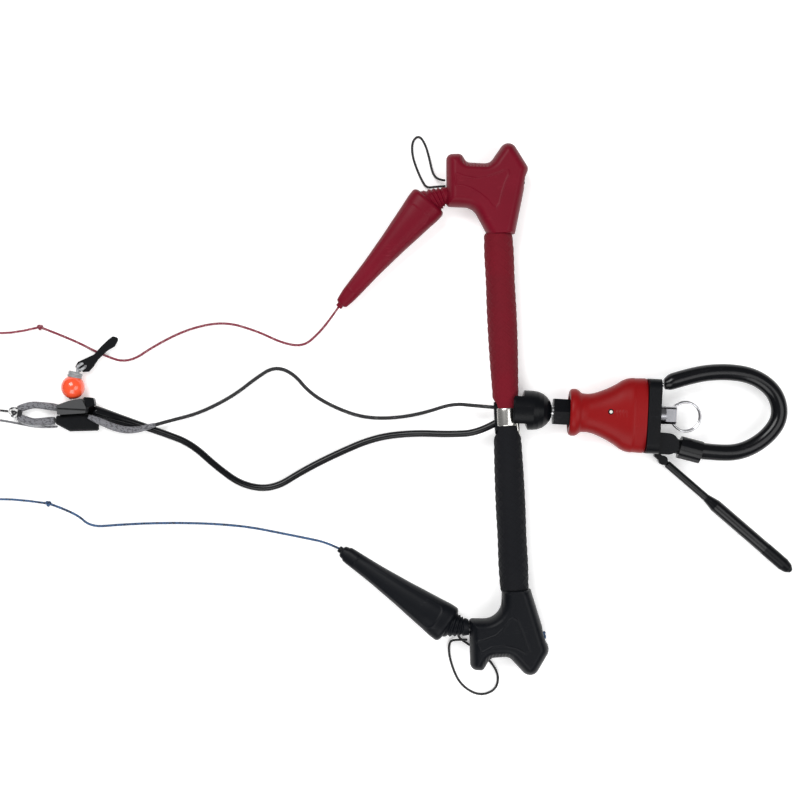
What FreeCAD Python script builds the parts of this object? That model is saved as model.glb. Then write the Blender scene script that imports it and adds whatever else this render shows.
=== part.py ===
import FreeCAD, Part
import math
import os
import Sketcher
from FreeCAD import Placement, Rotation, Vector

# Kite control bar: a steering bar with two floats, a quick release with its chicken loop,
# a trim cleat, and four flying lines. +X points from the bar to the rider along the axis of
# the quick release, +Y towards the red end of the bar, +Z up, and the bar lies on z = 0.

os.makedirs("parts", exist_ok=True)
doc = FreeCAD.newDocument("kite_control_bar")
sheet = doc.addObject("Spreadsheet::Sheet", "Sizes")

SIZES = {
    # where things stand
    "axis_height": 20.5,
    "pivot_x": 95.3,
    "pivot_y": -1.1,
    "bar_turn": 5.43,
    # bar
    "tube_radius": 9.0,
    "tube_bore": 7.6,
    "tube_half": 206.0,
    "slot_centre": -8.0,
    "slot_width": 30.0,
    "slot_height": 13.0,
    "insert_radius": 11.2,
    "insert_width": 14.4,
    "lip_width": 34.0,
    "lip_height": 16.0,
    "lip_depth": 24.8,
    "bush_bore_width": 26.0,
    "bush_bore_height": 9.0,
    "bush_depth": 22.6,
    "mouth_width": 34.5,
    "mouth_height": 16.5,
    "grip_inner": 9.02,
    "grip_waist": 11.75,
    "grip_mid": 13.2,
    "grip_widest": 13.75,
    "grip_outer": 13.0,
    "grip_end": 165.3,
    "red_grip_start": 0.6,
    "black_grip_start": 15.4,
    "bar_end_thick": 30.0,
    "bar_end_fillet": 5.0,
    # floats
    "root_u": 203.0,
    "root_v": 53.0,
    "root_ball": 5.0,
    "root_stub": 6.2,
    "root_wall": 6.4,
    "root_link": 2.6,
    "red_float_length": 138.0,
    "black_float_length": 132.0,
    "float_pitch": 5.5,
    "float_shift": 4.4,
    "red_float_heading": 231.9,
    "black_float_heading": 148.3,
    "grommet_radius": 3.2,
    "grommet_length": 4.0,
    # stopper and swivel
    "ball_radius": 18.5,
    "ball_start": 5.9,
    "ball_middle": 25.0,
    "ball_bore": 7.4,
    "fork_gap": 26.6,
    "fork_reach": 12.9,
    "stem_radius": 5.5,
    "stem_bore": 4.2,
    "stem_start": 32.0,
    "stem_length": 34.0,
    "stem_head": 8.0,
    "stem_head_length": 3.0,
    "neck_start": 44.0,
    "neck_length": 17.0,
    "neck_flats": 24.0,
    "neck_bore": 5.56,
    # quick release
    "handle_start": 58.9,
    "plate_start": 131.0,
    "plate_thick": 12.0,
    "plate_half_width": 35.0,
    "plate_corner": 9.0,
    # chicken loop
    "loop_pivot_x": 152.0,
    "loop_pivot_y": -25.0,
    "loop_tube": 7.7,
    "loop_heading": -12.0,
    "knuckle_radius": 8.0,
    "knuckle_height": 17.4,
    "lug_gap": 18.0,
    "lug_thick": 3.2,
    "loop_pin_radius": 2.5,
    "loop_pin_length": 23.6,
    "cuff_radius": 10.6,
    "cuff_start": 12.4,
    "cuff_length": 21.0,
    "spigot_radius": 2.4,
    "spigot_length": 9.0,
    "spigot_socket": 4.2,
    # leash
    "leash_y": 1.5,
    "post_radius": 3.0,
    "clevis_radius": 8.6,
    "clevis_start": 143.6,
    "clevis_length": 15.8,
    "bridge_x": 157.9,
    "bridge_radius": 1.0,
    "bridge_length": 11.0,
    "ring_x": 168.1,
    "ring_radius": 12.8,
    "ring_wire": 1.5,
    # locking finger
    "finger_x": 151.5,
    "finger_y": -41.2,
    "finger_z": 6.2,
    "finger_heading": -38.0,
    "finger_thin": 3.6,
    "finger_thick": 6.0,
    "finger_pin": 1.5,
    "finger_pin_length": 7.8,
    "finger_length": 161.5,
    "tip_start": 128.0,
    # trim
    "trim_ball_radius": 10.4,
    "trim_ball_bore": 2.0,
    "ferrule_radius": 7.2,
    "ferrule_length": 7.0,
    "strand_radius": 3.4,
    "knot_radius": 5.2,
    # lines
    "depower_line": 6.5,
    "flag_line_size": 3.4,
    "leader_size": 2.2,
    "flying_line": 2.0,
    "bungee_size": 2.2,
    "coil_radius": 42.0,
    "coil_width": 18.4,
    "coil_height": 19.4,
}
for row, (word, value) in enumerate(SIZES.items(), 1):
    sheet.set(f"A{row}", word)
    sheet.set(f"B{row}", str(value))
    sheet.setAlias(f"B{row}", word)
doc.recompute()

ALONG_X = Rotation(Vector(0, 1, 0), 90)
ALONG_Y = Rotation(Vector(1, 0, 0), -90)
LEVEL = Rotation()
NODES = []


def size(word):
    """The number that the sheet holds under this word, with a minus sign if the word has one."""
    return -float(getattr(sheet, word[1:])) if word[0] == "-" else float(getattr(sheet, word))


def bind(thing, **words):
    """Ties properties of an object to words of the sheet."""
    for name, word in words.items():
        sign = "-" if word[0] == "-" else ""
        thing.setExpression(name, f"{sign}Sizes.{word.lstrip('-')}")


AXIS = size("axis_height")
ORIGIN = Vector(size("pivot_x"), size("pivot_y"), 0)
BAR_TURN = Rotation(Vector(0, 0, 1), size("bar_turn"))


def heading(degrees, pitch=0.0):
    """The rotation that points +X at a compass angle from +X, then tips it down by pitch."""
    return Rotation(Vector(0, 0, 1), degrees) * Rotation(Vector(0, 1, 0), pitch)


def node(thing, name, at=(0, 0, 0), turn=LEVEL):
    """Names a finished sub-part and stands it in the shared frame."""
    thing.Label = name
    thing.Placement = Placement(Vector(*at) + ORIGIN, turn)
    NODES.append(thing)
    return thing


def bar_node(thing, name):
    """A sub-part drawn in the bar's own frame: x to the rider, y along the bar to the red end."""
    return node(thing, name, (0, 0, AXIS), BAR_TURN)


def local(thing, at=(0, 0, 0), turn=LEVEL):
    thing.Placement = Placement(Vector(*at), turn)
    return thing


def on_bar(v, u):
    """The point v mm to the rider side and u mm along the bar, in the pivot's frame."""
    angle = math.radians(size("bar_turn"))
    return (v * math.cos(angle) - u * math.sin(angle), v * math.sin(angle) + u * math.cos(angle))


def cylinder(radius, height, at=(0, 0, 0), turn=LEVEL):
    thing = doc.addObject("Part::Cylinder", "Cylinder")
    bind(thing, Radius=radius, Height=height)
    return local(thing, at, turn)


def rod(radius, height, at=(0, 0, 0), turn=LEVEL):
    """A cylinder whose sizes are worked out from others."""
    thing = doc.addObject("Part::Cylinder", "Rod")
    thing.Radius = radius
    thing.Height = height
    return local(thing, at, turn)


def box(x, y, z, at, turn=LEVEL):
    """A box of these sizes, centred on a point."""
    thing = doc.addObject("Part::Box", "Box")
    thing.Length, thing.Width, thing.Height = x, y, z
    return local(thing, Vector(*at) - turn.multVec(Vector(x / 2, y / 2, z / 2)), turn)


def sphere(radius, at=(0, 0, 0), turn=LEVEL):
    thing = doc.addObject("Part::Sphere", "Sphere")
    bind(thing, Radius=radius)
    return local(thing, at, turn)


def fuse(*parts):
    thing = doc.addObject("Part::MultiFuse", "Fuse")
    thing.Shapes = list(parts)
    return thing


def cut(base, *tools):
    thing = doc.addObject("Part::Cut", "Cut")
    thing.Base = base
    thing.Tool = tools[0] if len(tools) == 1 else fuse(*tools)
    return thing


def feature(shape):
    thing = doc.addObject("Part::Feature", "Solid")
    thing.Shape = shape
    return thing


def obround(width, tall, depth, centre=0.0):
    """A slot's solid: width along y, tall in z, depth along x and even about x = 0."""
    wide, high, deep = size(width), size(tall), size(depth)
    middle = box(deep, wide - high, high, (0, centre, 0))
    ends = [
        rod(high / 2, deep, (-deep / 2, centre + side * (wide - high) / 2, 0), ALONG_X)
        for side in (-1, 1)
    ]
    return fuse(middle, *ends)


def plane(body, role):
    return next(f for f in body.Origin.OriginFeatures if f.Role == role)


def polygon_sketch(body, role, corners):
    """A closed outline on one of the body's planes. A corner's coordinate is a number or a
    word of the sheet, and each is a dimension of the sketch."""
    sketch = body.newObject("Sketcher::SketchObject", "Outline")
    sketch.AttachmentSupport = (plane(body, role), [""])
    sketch.MapMode = "FlatFace"
    points = [[size(c) if isinstance(c, str) else float(c) for c in p] for p in corners]
    for i, (x, y) in enumerate(points):
        x2, y2 = points[(i + 1) % len(points)]
        sketch.addGeometry(Part.LineSegment(Vector(x, y, 0), Vector(x2, y2, 0)), False)
    for i in range(len(points)):
        after = (i + 1) % len(points)
        sketch.addConstraint(Sketcher.Constraint("Coincident", i, 2, after, 1))
    for i, corner in enumerate(corners):
        for kind, axis, value, given in (
            ("DistanceX", -2, points[i][0], corner[0]),
            ("DistanceY", -1, points[i][1], corner[1]),
        ):
            if abs(value) < 1e-9:
                sketch.addConstraint(Sketcher.Constraint("PointOnObject", i, 1, axis))
                continue
            number = sketch.addConstraint(Sketcher.Constraint(kind, -1, 1, i, 1, value))
            if isinstance(given, str):
                bind(sketch, **{f"Constraints[{number}]": given})
    return sketch


def turned(name, corners, axis="V_Axis", role="XY_Plane"):
    """A body of revolution: the outline turned right round one axis of its sketch."""
    body = doc.addObject("PartDesign::Body", f"{name}_blank")
    sketch = polygon_sketch(body, role, corners)
    turn = body.newObject("PartDesign::Revolution", "Turn")
    turn.Profile = sketch
    turn.ReferenceAxis = (sketch, [axis])
    turn.Angle = 360
    return body


def rounded_wire(corners):
    """A closed flat wire of straight sides, with each corner (x, y, radius) an arc."""
    count = len(corners)
    points = [Vector(x, y, 0) for x, y, _ in corners]
    ends = []
    for i, (_, _, radius) in enumerate(corners):
        back = (points[i - 1] - points[i]).normalize()
        ahead = (points[(i + 1) % count] - points[i]).normalize()
        half = back.getAngle(ahead) / 2
        reach = radius / math.tan(half)
        middle = (back + ahead).normalize()
        crest = points[i] + middle * (radius / math.sin(half) - radius)
        ends.append((points[i] + back * reach, crest, points[i] + ahead * reach))
    edges = []
    for i, (start, crest, end) in enumerate(ends):
        edges.append(Part.Arc(start, crest, end))
        edges.append(Part.LineSegment(end, ends[(i + 1) % count][0]))
    return edges


def padded(name, corners, thick, fillet=None):
    """A body: an outline with rounded corners, padded evenly both ways from its plane."""
    body = doc.addObject("PartDesign::Body", f"{name}_blank")
    sketch = body.newObject("Sketcher::SketchObject", "Outline")
    sketch.AttachmentSupport = (plane(body, "XY_Plane"), [""])
    sketch.MapMode = "FlatFace"
    sketch.AttachmentOffset = Placement(Vector(0, 0, -size(thick) / 2), Rotation())
    sketch.addGeometry(rounded_wire(corners), False)
    pad = body.newObject("PartDesign::Pad", "Pad")
    pad.Profile = sketch
    bind(pad, Length=thick)
    if fillet:
        doc.recompute()
        rims = [
            f"Edge{n}"
            for n, edge in enumerate(pad.Shape.Edges, 1)
            if abs(abs(edge.CenterOfMass.z) - size(thick) / 2) < 0.01
        ]
        round_over = body.newObject("PartDesign::Fillet", "RoundOver")
        round_over.Base = (pad, rims)
        bind(round_over, Radius=fillet)
    return body


def ellipse_loft(sections, ruled=False):
    """A solid through upright ellipses (x, half width, half height) along +X, smooth or with
    straight lines from each to the next."""
    rings = []
    for x, wide, high in sections:
        ring = doc.addObject("Part::Ellipse", "Ring")
        ring.MajorRadius, ring.MinorRadius = max(wide, high), min(wide, high)
        spin = Rotation(Vector(0, 0, 1), 90 if wide >= high else 0)
        rings.append(local(ring, (x, 0, 0), ALONG_X * spin))
    loft = doc.addObject("Part::Loft", "Loft")
    loft.Sections = rings
    loft.Solid = True
    loft.Ruled = ruled
    return loft


def cord(name, route, diameter):
    """A cord's solid: straight runs joined by arcs as large as the runs allow."""
    points = [Vector(*p) for p in route]
    edges, radii, start = [], [], points[0]
    for before, here, after in zip(points, points[1:], points[2:]):
        back, ahead = before - here, after - here
        turn = math.pi - back.getAngle(ahead)
        reach = 0.45 * min(back.Length, ahead.Length)
        radius = reach / math.tan(turn / 2)
        middle = (Vector(back).normalize() + Vector(ahead).normalize()).normalize()
        crest = here + middle * (radius / math.cos(turn / 2) - radius)
        into = here + Vector(back).normalize() * reach
        out = here + Vector(ahead).normalize() * reach
        edges.append(Part.LineSegment(start, into).toShape())
        edges.append(Part.Arc(into, crest, out).toShape())
        radii.append(round(radius))
        start = out
    edges.append(Part.LineSegment(start, points[-1]).toShape())
    wire = Part.Wire(edges)
    ring = Part.makeCircle(diameter / 2, points[0], points[1] - points[0])
    solid = wire.makePipeShell([Part.Wire([ring])], True, True)
    section = math.pi * diameter**2 / 4
    share = solid.Volume / (section * wire.Length)
    print(f"{name}: length {wire.Length:.0f}, volume share {share:.3f}, radii {radii}")
    return node(feature(solid), name)


# ---- the bar ------------------------------------------------------------------------------


def make_tube():
    long = 2 * size("tube_half")
    outside = rod(size("tube_radius"), long, (0, -long / 2, 0), ALONG_Y)
    inside = rod(size("tube_bore"), long, (0, -long / 2, 0), ALONG_Y)
    slot = obround("slot_width", "slot_height", "lip_depth", size("slot_centre"))
    bar_node(cut(outside, inside, slot), "bar_tube")


def make_centre():
    """The metal insert that lines the hole through the bar, and the plastic bush in it."""
    middle = size("slot_centre")
    wide = size("insert_width")
    sleeve = cylinder("insert_radius", "insert_width", (0, middle - wide / 2, 0), ALONG_Y)
    lips = obround("lip_width", "lip_height", "lip_depth", middle)
    bore = rod(size("tube_radius"), 60, (0, middle - 30, 0), ALONG_Y)
    slot = obround("slot_width", "slot_height", "lip_depth", middle)
    bar_node(cut(fuse(sleeve, lips), bore, slot), "centre_insert")
    outer = obround("slot_width", "slot_height", "bush_depth", middle)
    inner = obround("bush_bore_width", "bush_bore_height", "lip_depth", middle)
    bar_node(cut(outer, inner), "centre_bushing")


def make_grip(name, start, side):
    """A grip of soft foam, narrow at the middle of the bar and full in the hand."""
    sign = "" if side > 0 else "-"
    first = side * size(start)
    corners = [
        ("grip_inner", first),
        ("grip_waist", first),
        ("grip_mid", side * 42.0),
        ("grip_widest", side * 92.0),
        ("grip_outer", sign + "grip_end"),
        ("grip_inner", sign + "grip_end"),
    ]
    body = turned(name, corners)
    mouth = obround("mouth_width", "mouth_height", "lip_depth", size("slot_centre"))
    bar_node(cut(body, local(mouth)), name)


def bar_end_outline(side):
    """Corners of a bar end seen from above: a collar, the wide rider side, the rounded horn,
    the shallow seat for the wound lines, the second horn and the hollow back to the collar."""
    seen = [
        (165.5, -9.5, 5.5),
        (165.5, 16.0, 5.5),
        (228.0, 31.5, 10.0),
        (256.5, 12.5, 6.5),
        (233.0, -8.5, 9.0),
        (233.0, -25.0, 8.0),
        (244.5, -36.0, 5.5),
        (240.5, -46.0, 5.5),
        (191.5, -46.5, 5.5),
        (191.5, -23.5, 7.0),
        (172.5, -10.5, 6.0),
    ]
    return [(v, side * u, radius) for u, v, radius in seen]


def make_bar_end(name, side):
    body = padded(name, bar_end_outline(side), "bar_end_thick", "bar_end_fillet")
    long = size("tube_half") - 160
    start = 160 if side > 0 else -size("tube_half")
    bore = rod(size("tube_radius"), long, (0, start, 0), ALONG_Y)
    stub_start = size("root_wall") - size("root_v")
    stub = rod(size("root_stub"), 5, (stub_start, side * size("root_u"), 0), ALONG_X)
    recess = rod(4.6, 12, (21.5, side * 214, 0), ALONG_X)
    bar_node(cut(body, bore, stub, recess), name)


def make_leader_knot(name, side):
    """The stopper knot of a leader line, seated in the recess of its bar end."""
    at_u = side * 214
    cord_end = rod(2.0, 5, (21.6, at_u, 0), ALONG_X)
    bar_node(fuse(cord_end, rod(3.6, 3.4, (24, at_u, 0), ALONG_X)), name)


# ---- floats -------------------------------------------------------------------------------


def make_float(colour, side):
    """The root is fixed to the bar end, and the neck and the float turn on it. The float's
    middle lies a little to the outer side of its neck."""
    at_u = side * size("root_u")
    pivot_v = -size("root_v")
    stub = rod(size("root_stub"), 5, (pivot_v + size("root_wall"), at_u, 0), ALONG_X)
    link = rod(size("root_link"), 8, (pivot_v, at_u, 0), ALONG_X)
    ball = sphere("root_ball", (pivot_v, at_u, 0), Rotation(Vector(0, 1, 0), 90))
    bar_node(fuse(stub, link, ball), f"float_root_{colour}")
    x, y = on_bar(-size("root_v"), at_u)
    where = (x, y, AXIS)
    turn = heading(size(f"{colour}_float_heading"), size("float_pitch"))
    neck = turned(
        f"float_neck_{colour}",
        [(1.2, 5.35), (1.2, 6.8), (3.0, 8.0), (4.6, 7.0), (6.2, 8.6), (7.8, 7.6), (9.4, 9.4),
         (11.0, 8.4), (12.6, 10.2), (13.4, 10.2), (13.4, 0.0), (5.6, 0.0), (4.6, 3.0), (3.0, 4.7)],
        "H_Axis",
    )
    node(neck, f"float_neck_{colour}", where, turn)
    long = size(f"{colour}_float_length")
    foam = ellipse_loft(
        [(13.4, 15.6, 12.0), (17.0, 18.0, 14.0), (30.0, 16.5, 14.0), (46.0, 14.6, 13.2),
         (62.0, 12.6, 12.2), (94.0, 9.6, 9.6), (long - 9, 7.0, 7.0), (long, 5.4, 5.2)]
    )
    grommet = cylinder("grommet_radius", "grommet_length", (long - 0.5, 0, 0), ALONG_X)
    shift = turn.multVec(Vector(0, -side * size("float_shift"), 0))
    node(fuse(foam, grommet), f"float_{colour}", Vector(*where) + shift, turn)


# ---- stopper and swivel -------------------------------------------------------------------


def make_stopper():
    """The ball that stops the bar, forked where it straddles the bar while the bar steers."""
    outline = [("ball_start", 0.0), ("ball_start", 17.0), (7.4, "ball_radius")]
    middle, radius = size("ball_middle"), size("ball_radius")
    for degrees in range(90, 0, -15):
        angle = math.radians(degrees)
        outline.append((middle + radius * math.cos(angle), radius * math.sin(angle)))
    outline.append((middle + radius, 0.0))
    ball = turned("stopper_ball", outline, "H_Axis")
    bore = rod(size("ball_bore"), size("stem_start") + 5, (-5, 0, 0), ALONG_X)
    shaft = rod(size("stem_radius"), 30, (size("stem_start"), 0, 0), ALONG_X)
    gaps = []
    for degrees in (-10.2, 21.0):
        turn = heading(degrees)
        centre = turn.multVec(Vector(size("fork_reach") - 40, 0, 0))
        gaps.append(box(80, 90, size("fork_gap"), centre, turn))
    node(cut(ball, bore, shaft, *gaps), "stopper_ball", (0, 0, AXIS))
    stem = fuse(
        cylinder("stem_radius", "stem_length", (size("stem_start"), 0, 0), ALONG_X),
        cylinder("stem_head", "stem_head_length",
                 (size("stem_start") + size("stem_length"), 0, 0), ALONG_X),
    )
    hole = rod(size("stem_bore"), 60, (size("stem_start") - 5, 0, 0), ALONG_X)
    node(cut(stem, hole), "swivel_stem", (0, 0, AXIS))


def make_swivel_neck():
    neck = doc.addObject("Part::Prism", "Neck")
    neck.Polygon = 6
    neck.Circumradius = size("neck_flats") / 2 / math.cos(math.radians(30))
    bind(neck, Height="neck_length")
    local(neck, (size("neck_start"), 0, 0), ALONG_X)
    bore = rod(size("neck_bore"), 40, (size("neck_start") - 5, 0, 0), ALONG_X)
    node(cut(neck, bore), "swivel_neck", (0, 0, AXIS))


def make_through_lines():
    """The lengths of line that run from the hole in the bar into the stopper."""
    for name, line, y, long in (
        ("through_tube", "depower_line", -3.0, 30.0),
        ("through_flag", "flag_line_size", 2.4, 30.0),
    ):
        node(rod(size(line) / 2, long), name, (1.0, y, AXIS), ALONG_X)


# ---- quick release ------------------------------------------------------------------------

HANDLE = [
    (0.0, 20.6, 18.0),
    (1.6, 22.0, 19.0),
    (8.6, 22.0, 19.0),
    (12.5, 18.2, 16.8),
    (20.0, 18.2, 16.8),
    (31.0, 22.0, 17.6),
    (43.0, 28.2, 18.6),
    (53.0, 33.4, 19.4),
    (71.5, 35.0, 20.0),
]


def make_handle():
    start = size("handle_start")
    outside = ellipse_loft([(start + x, wide, high) for x, wide, high in HANDLE])
    inside = ellipse_loft(
        [(start - 2, 15.2, 15.2), (start + 24, 15.2, 14.6), (start + 46, 25.2, 15.6),
         (start + 58, 30.6, 16.4), (start + 76, 32.0, 16.8)],
        ruled=True,
    )
    node(cut(outside, inside), "qr_handle", (0, 0, AXIS))


def make_qr_core():
    """The body inside the handle, which holds the swivel's head and the release latch."""
    start = size("handle_start")
    core = ellipse_loft(
        [(61.2, 12.4, 12.4), (start + 26, 13.6, 13.2), (start + 48, 22.0, 14.0),
         (size("plate_start"), 28.0, 14.6)]
    )
    head = rod(size("stem_head") + 0.3, 13, (60, 0, 0), ALONG_X)
    back = rod(4.0, 40, (70, 0, 0), ALONG_X)
    node(cut(core, head, back), "qr_core", (0, 0, AXIS))


def make_plate():
    """The black end plate: open for the leash post and for the spigot of the loop."""
    wide, corner = size("plate_half_width"), size("plate_corner")
    corners = [
        (-AXIS, -wide, corner), (AXIS, -wide, corner), (AXIS, wide, corner), (-AXIS, wide, corner),
    ]
    face = Part.Face(Part.Wire([e.toShape() for e in rounded_wire(corners)]))
    body = feature(face.extrude(Vector(0, 0, size("plate_thick"))))
    local(body, (size("plate_start"), 0, 0), ALONG_X)
    post = rod(size("post_radius") + 0.08, 40, (120, size("leash_y"), 0), ALONG_X)
    end = loop_free_end()
    socket_turn = heading(spigot_heading())
    start = Vector(end[0], end[1], 0) - socket_turn.multVec(Vector(10.5, 0, 0))
    socket = rod(size("spigot_socket"), 16, start, socket_turn * ALONG_X)
    node(cut(body, post, socket), "qr_plate", (0, 0, AXIS))


# ---- chicken loop -------------------------------------------------------------------------

LOOP_ROUTE = [
    (172.5, -29.4),
    (200.0, -31.8),
    (224.0, -29.4),
    (246.0, -15.0),
    (258.5, 5.0),
    (252.5, 28.0),
    (232.0, 42.5),
    (205.0, 45.6),
    (174.0, 41.2),
    (146.4, 30.4),
]


def loop_free_end():
    return LOOP_ROUTE[-1]


def spigot_heading():
    """The spigot points along the circle that the loop's free end follows as it opens."""
    x, y = loop_free_end()
    return math.degrees(math.atan2(x - size("loop_pivot_x"), -(y - size("loop_pivot_y")))) + 180


def make_loop():
    pivot = (size("loop_pivot_x"), size("loop_pivot_y"))
    cord("chicken_loop", [(x, y, AXIS) for x, y in LOOP_ROUTE], 2 * size("loop_tube"))
    end = loop_free_end()
    turn = heading(spigot_heading())
    start = Vector(end[0], end[1], AXIS) - turn.multVec(Vector(size("spigot_length"), 0, 0))
    spigot = rod(size("spigot_radius"), size("spigot_length") + 1.5)
    node(spigot, "loop_spigot", start, turn * ALONG_X)
    tilt = heading(size("loop_heading"))
    knuckle = cylinder("knuckle_radius", "knuckle_height", (0, 0, -size("knuckle_height") / 2))
    neck = rod(7.0, size("cuff_start") + 1, (0, 0, 0), tilt * ALONG_X)
    hole = rod(size("loop_pin_radius") + 0.05, 40, (0, 0, -20))
    node(cut(fuse(knuckle, neck), hole), "loop_knuckle", (*pivot, AXIS))
    cuff = rod(size("cuff_radius"), size("cuff_length"), (size("cuff_start"), 0, 0), ALONG_X)
    inner = rod(7.1, 6, (size("cuff_start") - 5, 0, 0), ALONG_X)
    tube = rod(7.9, 40, (20.5, 0, 0), ALONG_X)
    node(cut(cuff, inner, tube), "loop_cuff", (*pivot, AXIS), tilt)


def make_loop_bracket():
    """Two lugs on the end plate hold the loop's knuckle by an upright pin."""
    x, y = size("loop_pivot_x"), size("loop_pivot_y")
    face = size("plate_start") + size("plate_thick")
    lugs = []
    for side in (-1, 1):
        z = side * (size("lug_gap") + size("lug_thick")) / 2
        web = box(x - face + 3, 20, size("lug_thick"), ((x + face - 3) / 2, y, z))
        lugs.append(fuse(web, rod(10, size("lug_thick"), (x, y, z - size("lug_thick") / 2))))
    back = box(1.6, 20, size("lug_gap") + 1, (face + 0.8, y, 0))
    bracket = fuse(*lugs, back)
    pin_hole = rod(size("loop_pin_radius"), 40, (x, y, -20))
    plate = box(20, 60, 60, (face - 10, y, 0))
    knuckle_room = rod(size("knuckle_radius") + 0.4, size("lug_gap"), (x, y, -size("lug_gap") / 2))
    node(cut(bracket, pin_hole, plate, knuckle_room), "loop_bracket", (0, 0, AXIS))
    low = AXIS - size("loop_pin_length") / 2
    node(cylinder("loop_pin_radius", "loop_pin_length"), "loop_pin", (x, y, low))


# ---- leash swivel and ring ----------------------------------------------------------------


def make_leash():
    y = size("leash_y")
    post = cylinder("post_radius", "plate_thick")
    node(post, "leash_post", (size("plate_start") + 0.4, y, AXIS), ALONG_X)
    drum = cylinder("clevis_radius", "clevis_length", (size("clevis_start"), 0, 0), ALONG_X)
    slot = box(30, 40, 4.4, (164.6, 0, 0))
    flats = [box(60, 10, 40, (size("clevis_start") + 36, side * 13.2, 0)) for side in (-1, 1)]
    crop = [box(40, 40, 10, (size("clevis_start") + 26, 0, side * 11.2)) for side in (-1, 1)]
    bridge = cylinder("bridge_radius", "bridge_length", (size("bridge_x"), 0, -size("bridge_length") / 2))
    node(fuse(cut(drum, slot, *flats, *crop), bridge), "leash_clevis", (0, y, AXIS))
    ring = doc.addObject("Part::Torus", "Ring")
    bind(ring, Radius1="ring_radius", Radius2="ring_wire")
    node(ring, "leash_ring", (size("ring_x"), y, AXIS))


# ---- locking finger -----------------------------------------------------------------------


def make_finger():
    at = (size("finger_x"), size("finger_y"))
    low = size("finger_z")
    tilt = heading(size("finger_heading"))
    shaft = turned(
        "locking_finger",
        [(0.0, 0.0), (0.0, 2.6), (4.8, 2.6), (6.0, "finger_thin"), (54.0, "finger_thin"),
         (66.0, "finger_thick"),
         ("tip_start", "finger_thick"), ("tip_start", 4.0), (136.0, 4.0), (136.0, 0.0)],
        "H_Axis",
    )
    eye = rod(4.4, 5.2, (0, 0, -2.6))
    hole = rod(size("finger_pin") + 0.05, 20, (0, 0, -10))
    node(cut(fuse(shaft, eye), hole), "locking_finger", (*at, low), tilt)
    tip = turned(
        "finger_tip",
        [("tip_start", 4.05), ("tip_start", 6.15), (151.0, 6.15), (157.0, 4.8), (160.5, 2.2),
         ("finger_length", 0.0), (136.05, 0.0), (136.05, 4.05)],
        "H_Axis",
    )
    node(tip, "finger_tip", (*at, low), tilt)
    thick, drop = 1.2, 3.9
    cheeks = [rod(4.4, thick, (0, 0, z)) for z in (-drop, drop - thick)]
    arm = box(13, 5.4, 2 * drop, (-6.5, 0, 0))
    swing = rod(4.8, 2 * (drop - thick), (0, 0, thick - drop))
    face = size("plate_start") + size("plate_thick") - at[0]
    plate = box(20, 40, 20, heading(-size("finger_heading")).multVec(Vector(face - 10, 0, 0)),
                heading(-size("finger_heading")))
    frame = cut(fuse(*cheeks, arm), swing, plate)
    pin = cylinder("finger_pin", "finger_pin_length", (0, 0, -drop))
    node(fuse(frame, pin), "finger_anchor", (*at, low), tilt)


# ---- trim ---------------------------------------------------------------------------------


def make_cleat():
    """The trim cleat: a shell with its jaw lever, on a stitched fabric base."""
    shell = Part.Face(Part.Wire([e.toShape() for e in rounded_wire([
        (-422.5, -17.0, 2.0), (-411.5, -12.4, 3.0), (-399.5, -9.4, 2.5), (-394.8, -17.5, 2.0),
        (-395.0, -23.2, 1.5), (-421.6, -26.2, 1.5),
    ])])).extrude(Vector(0, 0, 17.0))
    groove = box(40, 1.6, 4, (-410, -20.2, 15.9))
    channel = rod(3.6, 12, (-428, -19.4, 6.8), ALONG_X)
    node(cut(feature(shell), groove, channel), "cleat_shell", (0, 0, 2.6))
    lever = Part.Face(Part.Wire([e.toShape() for e in rounded_wire([
        (-398.6, -8.0, 1.5), (-388.0, -8.4, 2.5), (-386.2, -15.5, 2.5), (-393.8, -17.8, 1.2),
    ])])).extrude(Vector(0, 0, 9.0))
    node(feature(lever), "cleat_lever", (0, 0, 10.0))
    base = Part.Face(Part.Wire([e.toShape() for e in rounded_wire([
        (-424.8, -27.0, 2.0), (-395.6, -23.6, 2.0), (-384.2, -31.0, 2.5), (-383.4, -39.4, 2.0),
        (-410.6, -41.4, 2.0), (-424.4, -35.0, 2.5),
    ])])).extrude(Vector(0, 0, 14.0))
    floor = Part.Face(Part.Wire([e.toShape() for e in rounded_wire([
        (-421.8, -16.6, 2.0), (-399.6, -10.0, 2.0), (-388.5, -17.4, 2.5), (-388.5, -23.0, 1.0),
        (-422.5, -26.9, 1.0),
    ])])).extrude(Vector(0, 0, 2.2))
    node(feature(base.fuse(floor)), "cleat_base", (0, 0, 0.1))


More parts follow.
